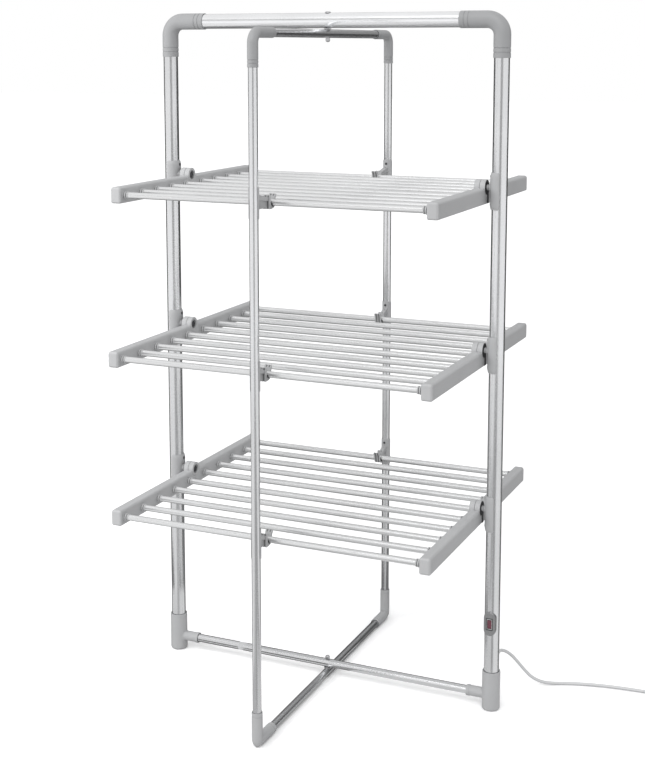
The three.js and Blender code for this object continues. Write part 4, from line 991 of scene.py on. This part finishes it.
def cradle_outline(reach):
    """(distance inboard of the upright, height) pairs round the open cradle of a bar."""
    arc = [math.pi * i / ARC_STEPS for i in range(ARC_STEPS + 1)]
    line = [(-13, CRADLE_FOOT), (-13, 8.5), (-10.6, 9.5), (-10, 13.5), (-8.4, 12.5)]
    line += [(-CRADLE_IN * math.cos(t), -CRADLE_IN * math.sin(t)) for t in arc]
    line += [(CRADLE_IN + 0.4, 3), (CRADLE_IN + 1.8, 11), (CRADLE_OUT + 3, 14.5),
             (CRADLE_OUT + 4.6, 12), (CRADLE_OUT + 0.8, 6), (CRADLE_OUT, 0)]
    line += [(CRADLE_OUT * math.cos(t), -CRADLE_OUT * math.sin(t)) for t in arc[1:8]]
    return [(reach + inboard, z) for inboard, z in [*line, (-3, CRADLE_FOOT)]]


def sawn(name, outline, x0, x1, soft=0.6):
    """A plate from x0 to x1 whose outline is (distance inboard, height) pairs."""
    loops = [[Vector((x, THIN_Y - inboard, z)) for inboard, z in outline] for x in (x0, x1)]
    return softened(skin(name, loops), soft)


def round_cradle(reach, inside, outside, bands):
    """A plate for each of the bands, with the cradle's outline grown from the bar's place."""
    middle = Vector((reach, 0))
    seat = range(5, 5 + ARC_STEPS + 1)
    grown = [middle + (Vector(point) - middle) * (inside if i in seat else outside)
             for i, point in enumerate(cradle_outline(reach))]
    return [sawn("band", [tuple(point) for point in grown], x0, x1, 0.3) for x0, x1 in bands]


def cradle_shade(name, reach):
    """The dark bands between the ribs."""
    return shaded(gathered(name, round_cradle(reach, 1.01, 1.03, SHADE_BANDS)), 30)


def cradle_seat_shade(name, reach):
    """Painted shade: a dark sheet in the seat for the shade round the bar, which shows at both of its ends.
    """
    turns = [math.pi * (0.97 + i / 20 * 1.06) for i in range(21)]
    outline = [(reach + out * math.cos(t), out * math.sin(t))
               for out, line in ((SEAT_SHADE_OUT, turns), (SEAT_SHADE_IN, turns[::-1])) for t in line]
    return shaded(sawn(name, outline, -SEAT_SHADE_HALF, SEAT_SHADE_HALF, 0.15), 30)


print("cradle outline of", len(cradle_outline(0)), "points")

# %% [markdown]
# A sloping strut on a thin web carries the cradle. The clip itself is a turned sleeve
# with a bore for the upright and its far side sawn off, so that it snaps on. One small
# screw closes the sleeve, and one holds the strut. The top tier reaches further in.

# %% Catches
REACHES = {"lower": 43, "middle": 43, "upper": 64}
CLIP_ROOT, CLIP_BORE, CLIP_LOW, CLIP_HIGH = 8.9, 8.8, -24, 34
STRUT_HALF, WEB_HALF, STRUT_FALL, STRUT_ROOT = 4.8, 1.8, 8.4, 26
SCREW_LINE, ON_SLEEVE = [(-1, 2.6), (0.4, 2.6), (0.8, 2.2), (0.95, 1.5)], (0, THIN_Y - 9.9, 26)


def catch_arm(reach):
    end = reach - 12
    strut = sawn("strut", [(CLIP_ROOT, 9), (CLIP_ROOT, 19), (14, 18.4), (end, 10), (end, 3.5)],
                 -STRUT_HALF, STRUT_HALF)
    web = sawn("web", [(CLIP_ROOT, -8.5), (CLIP_ROOT, 12), (end, 6), (end, -8.5)], -WEB_HALF, WEB_HALF)
    cradle = sawn("cradle", cradle_outline(reach), -CRADLE_HALF, CRADLE_HALF)
    return joined(strut, web, cradle, *round_cradle(reach, 1.02, 1.08, RIB_BANDS))


def catch(name, reach):
    """A clip that holds the upright from its inboard side and leaves the other side bare."""
    line = eased([(CLIP_LOW, 7), (CLIP_LOW, 10), (CLIP_HIGH, 10), (CLIP_HIGH, 7)], 1.2)
    clip = joined(turned(name, (0, THIN_Y, 0), UP, line, 64), catch_arm(reach))
    low, high = CLIP_LOW - 6, CLIP_HIGH + 6
    bore = turned("bore", (0, THIN_Y, 0), UP, [(low, CLIP_BORE), (high, CLIP_BORE)], 64)
    return shaded(cut(clip, bore, block("mouth", (-12, THIN_Y + 1.8, low), (12, THIN_Y + 15, high))), 30)


def catch_screw(name, place, out):
    """A low round head with a cross in it, at place and facing out."""
    screw = turned(name, (0, 0, 0), UP, SCREW_LINE, 32)
    cut(screw, *(block("slot", (-a, -b, 0.4), (a, b, 2)) for a, b in ((0.35, 1.6), (1.6, 0.35))))
    facing = Vector(out).to_track_quat("Z", "Y").to_matrix().to_4x4()
    screw.data.transform(Matrix.Translation(Vector(place) * MM) @ facing)
    return shaded(screw, 30)


for tier, level in LEVELS.items():
    reach = REACHES[tier]
    run = reach - STRUT_ROOT
    for place, turn in HALVES:
        name = f"{tier}_{place}"
        clip = catch(f"{name}_catch_clip", reach)
        on_strut = (0, THIN_Y - 18, 18.5 - 4 * STRUT_FALL / run)
        placed(Matrix.Translation((0, 0, level * MM)) @ turn, "narrow_frame", [
            (clip, "grey_plastic", CATCH_GREY, f"{name}_catch"),
            # A dark sheet in each cradle's seat is painted shade round the bar.
            (cradle_seat_shade(f"{name}_cradle_seat_shade", reach), "dark_plastic", DARK),
            (cradle_shade(f"{name}_cradle_shade", reach), "dark_plastic", GROOVE),
            (catch_screw(f"{name}_sleeve_screw", ON_SLEEVE, (0, -1, 0)), "dark_bolt", BLACKENED),
            (catch_screw(f"{name}_strut_screw", on_strut, (0, -STRUT_FALL, run)), "dark_bolt", ZINC),
        ])
print("catch of", len(clip.data.polygons), "faces")

# %% [markdown]
# The switch is a bought part in a long round plate. The plate's back is hollowed to
# the round of the upright. In its opening sit a dark housing and a light frame round
# the rocker's well. The housing's face shows as a dark ring round the frame: its own
# black, and also painted shade of the gap between plate and frame.

# %% Switch
PLATE_FACE, PLATE_BACK, PLATE_ROUND, PLATE_RADIUS, PLATE_STRAIGHT = -19.5, -8.0, 2.2, 12, 12.5
OPENING, HOUSING, HOUSING_WELL = (7, 12.5, -30, 0), (6.9, 12.4, -18.3, -3), (4.5, 9.3, -30, -11.7)
SURROUND, SURROUND_WELL = (5.3, 10.3, -19.6, -18.2), (4.6, 9.4, -30, 0)


def long_round(y, inset, steps=12):
    """A plate outline with half-round ends, at y."""
    loop = []
    for sign, start in ((1, 0), (-1, math.pi)):
        for i in range(steps + 1):
            turn = start + math.pi * i / steps
            x = (PLATE_RADIUS - inset) * math.cos(turn)
            z = sign * PLATE_STRAIGHT + (PLATE_RADIUS - inset) * math.sin(turn)
            loop.append(Vector((SIDE_X + x, y, SWITCH_Z + z)))
    return loop


def box_at(name, half_width, half_length, y0, y1):
    """A box round the middle of the switch, from y0 to y1."""
    low = (SIDE_X - half_width, y0, SWITCH_Z - half_length)
    return block(name, low, (SIDE_X + half_width, y1, SWITCH_Z + half_length))


plate_loops = [long_round(PLATE_BACK, 0)] + [
    long_round(PLATE_FACE + PLATE_ROUND * (1 - math.sin(t)), PLATE_ROUND * (1 - math.cos(t)))
    for t in quarter_turns(6)]
upright = turned("upright", (SIDE_X, 0, 0), UP, [(100, SADDLE_IN), (260, SADDLE_IN)], 64)
plate = cut(skin("switch_plate", plate_loops), upright, box_at("opening", *OPENING))
fitted(shaded(plate, 30), "wide_frame", "dark_plastic", BEZEL, "switch_bezel")
# The housing's dark face round the frame is its own black and painted shade of the gap.
housing = cut(box_at("switch_housing", *HOUSING), box_at("well", *HOUSING_WELL))
fitted(shaded(housing, 30), "wide_frame", "dark_plastic", DARK)
surround = softened(box_at("switch_surround", *SURROUND), 0.3)
cut(surround, box_at("well", *SURROUND_WELL))
fitted(shaded(surround, 30), "wide_frame", "grey_plastic", TRIM)
print("switch plate of", len(plate.data.polygons), "faces")

# %% [markdown]
# The red rocker turns on its own body, so it is a piece by itself. Its face is dished,
# so that a finger finds it, and at rest it is tilted to the side that is pressed in.

# %% Rocker
ROCKER_PIVOT_Y, ROCKER_TILT = -15.8, math.radians(7)
ROCKER_HALF_WIDTH, ROCKER_HALF_LENGTH, ROCKER_BACK, ROCKER_FACE, DISH = 4.2, 8.5, 2.5, -2.5, 1
face = [(ROCKER_FACE - DISH * (i / 8) ** 2, ROCKER_HALF_LENGTH * i / 8) for i in range(-8, 9)]
outline = [(ROCKER_BACK, -ROCKER_HALF_LENGTH), *face, (ROCKER_BACK, ROCKER_HALF_LENGTH)]
widths = (-ROCKER_HALF_WIDTH, ROCKER_HALF_WIDTH)
rocker = skin("red_rocker", [[Vector((x, y, z)) for y, z in outline] for x in widths])
softened(rocker, 0.45)
where = Matrix.Translation((SIDE_X * MM, ROCKER_PIVOT_Y * MM, SWITCH_Z * MM))
rocker.data.transform(where @ Matrix.Rotation(ROCKER_TILT, 4, "X"))
fitted(shaded(rocker, 30), "rocker", "red_plastic", RED, "switch_rocker")
print("rocker of", len(rocker.data.polygons), "faces")

# %% [markdown]
# The stage is a pale studio. One wide, soft sun from above and in front gives the
# tubes a bright top and a shaded underside, the sky fills the shadows, and a small
# lamp on the left lifts the elbow and the rails there. Floor and sky look white to the
# camera and in reflections, but light the airer more softly and keep its shadow.

# %% Floor, sky and lamps
def seen_white(nodes, links, other, white):
    """White for camera, glossy and transmission rays, and other for the light itself."""
    path = nodes.new("ShaderNodeLightPath")
    first, second = nodes.new("ShaderNodeMath"), nodes.new("ShaderNodeMath")
    first.operation = second.operation = "MAXIMUM"
    links.new(path.outputs["Is Camera Ray"], first.inputs[0])
    links.new(path.outputs["Is Glossy Ray"], first.inputs[1])
    links.new(first.outputs[0], second.inputs[0])
    links.new(path.outputs["Is Transmission Ray"], second.inputs[1])
    return blended(nodes, links, second.outputs[0], other, white)


def emptied(name):
    """A new material without nodes, and its nodes and links."""
    material = bpy.data.materials.new(name)
    material.use_nodes = True
    material.node_tree.nodes.clear()
    return material, material.node_tree.nodes, material.node_tree.links


def lamp(name, kind, energy, direction):
    """A lamp that shines in the given direction."""
    light = bpy.data.objects.new(name, bpy.data.lights.new(name, kind))
    light.data.energy = energy
    light.rotation_euler = Vector(direction).to_track_quat("-Z", "Y").to_euler()
    bpy.context.scene.collection.objects.link(light)
    return light


FLOOR_REACH = 30000
corners = [(x * FLOOR_REACH, y * FLOOR_REACH, 0) for x, y in ((-1, -1), (1, -1), (1, 1), (-1, 1))]
floor = mesh_piece("floor", corners, [(0, 1, 2, 3)])
floor_finish, nodes, links = emptied("pale floor")
surface, matt = nodes.new("ShaderNodeOutputMaterial"), nodes.new("ShaderNodeBsdfDiffuse")
links.new(seen_white(nodes, links, (0.6, 0.6, 0.6), (1.25, 1.25, 1.25)), matt.inputs["Color"])
links.new(matt.outputs[0], surface.inputs["Surface"])
floor.data.materials.append(floor_finish)

world = bpy.data.worlds.new("studio")
bpy.context.scene.world = world
world.use_nodes = True
nodes, links = world.node_tree.nodes, world.node_tree.links
sky = seen_white(nodes, links, (0.7, 0.7, 0.705), (1, 1, 1))
links.new(sky, nodes["Background"].inputs["Color"])

lamp("key", "SUN", 1.1, (-0.12, 0.68, -0.62)).data.angle = math.radians(50)
fill = lamp("left fill", "AREA", 11, (1.0, 1.0, -0.5))
fill.data.size = 0.7
fill.location = (-1.35, -1.0, 1.45)
fill.visible_glossy = False
print("floor, sky and two lamps set")

# %% [markdown]
# A photographer puts dark cloths round bright metal, because a tube with nothing but
# white to mirror has no edges. These panels are seen in reflections alone. Two hang
# behind the airer and others lie on the floor, for the thin dark lines at both sides
# of every tube. The gap left for the camera is the grey line along the middle. Pale
# ones give light back where the feet and the low bars would turn too dark.

# %% Cloths and gaps
VIEW_AZIMUTH, WALL_AWAY, CARD_AWAY, UNDER_TONE = 23.7, 3200, 150, 0.2


def on_floor(centre, azimuth, distance, lift=1.5):
    """A point of the floor, distance from centre. Azimuth 0 is straight behind the airer."""
    turn = math.radians(VIEW_AZIMUTH + azimuth)
    return Vector((centre[0] - math.sin(turn) * distance, centre[1] + math.cos(turn) * distance, lift))


def cloth(name, loops, tone):
    """A panel between the two rows of points in loops, seen in reflections alone."""
    first, last = loops
    count = len(first)
    faces = [(i, i + 1, count + i + 1, count + i) for i in range(count - 1)]
    panel = mesh_piece(name, [*first, *last], faces)
    finish, nodes, links = emptied(name)
    surface, glow = nodes.new("ShaderNodeOutputMaterial"), nodes.new("ShaderNodeEmission")
    glow.inputs["Color"].default_value = (tone, tone, tone, 1)
    links.new(glow.outputs[0], surface.inputs["Surface"])
    panel.data.materials.append(finish)
    for kind in ("camera", "diffuse", "transmission", "volume_scatter", "shadow"):
        setattr(panel, f"visible_{kind}", False)


def hung(name, centre, turns, distance, low, high, tone):
    """A panel that hangs in an arc round centre."""
    cloth(name, [[on_floor(centre, turn, distance, z) for turn in turns] for z in (low, high)], tone)


def spread(name, centre, middle, half_angle, near, far, lift, tone):
    """A panel that lies on the floor as a fan."""
    turns = [middle - half_angle + half_angle * i / 8 for i in range(17)]
    loops = [[on_floor(centre, turn, distance, lift) for turn in turns] for distance in (near, far)]
    cloth(name, loops, tone)


def laid(name, x_ends, y_ends, lift, tone):
    """A rectangular panel that lies on the floor."""
    cloth(name, [[(x, y, lift) for y in y_ends] for x in x_ends], tone)


print("ready to hang and lay cloths")

# %% [markdown]
# Panels on the floor lie a hair above each other, and a tube mirrors the upper one.
# Three uprights have a dark fan behind them, and all four a paler gap before them, in
# the tone that the middle of that tube should have.

# %% Cloths in place
behind = [-82 + 7.5 * i for i in range(21)]
hung("low back cloth", (0, 0), behind, WALL_AWAY, -100, 1350, 0.08)
hung("high back cloth", (0, 0), behind, WALL_AWAY, 1350, 2900, 0.32)
hung("camera gap", (0, 0), (164, 180, 196), 4200, -100, 1900, 0.42)
spread("pale cloth", (0, 0), 0, 180, 0, 3100, 1, 0.95)
posts = [("right", (SIDE_X, 0), 3300, 0.42), ("left", (-SIDE_X, 0), 3300, 0.58),
         ("back", (0, THIN_Y), 1500, 0.75)]
for i, (name, centre, far, tone) in enumerate(posts):
    spread(f"cloth behind the {name} upright", centre, -7, 75, CARD_AWAY, far, 1.5 + 0.1 * i, UNDER_TONE)
    spread(f"gap before the {name} upright", centre, 180, 16, CARD_AWAY, 3000, 2.4 - 0.1 * i, tone)
spread("gap before the front upright", (0, -THIN_Y), 180, 16, 130, 3000, 2.5, 0.45)
laid("cloth beside the low bar", (4, 110), (-315, 315), 1.4, 0.4)
laid("cloth under the shelves", (-1000, 300), (-300, 1300), 1.3, UNDER_TONE)
laid("pale strip below the low bar", (-400, 330), (-40, 60), 1.35, 0.85)
for place, middle in (("left", -116), ("right", 116)):
    turns = [middle + 12 * i for i in range(-4, 5)]
    hung(f"pale screen {place} of the left upright", (-SIDE_X, 0), turns, CARD_AWAY, 1.9, 85, 0.86)
cloth("lamp bar", [[(x, -3300, z) for x in (-2800, 300)] for z in (2150, 2750)], 0.3)
bpy.context.scene.view_settings.view_transform = "Standard"
print("stage set")
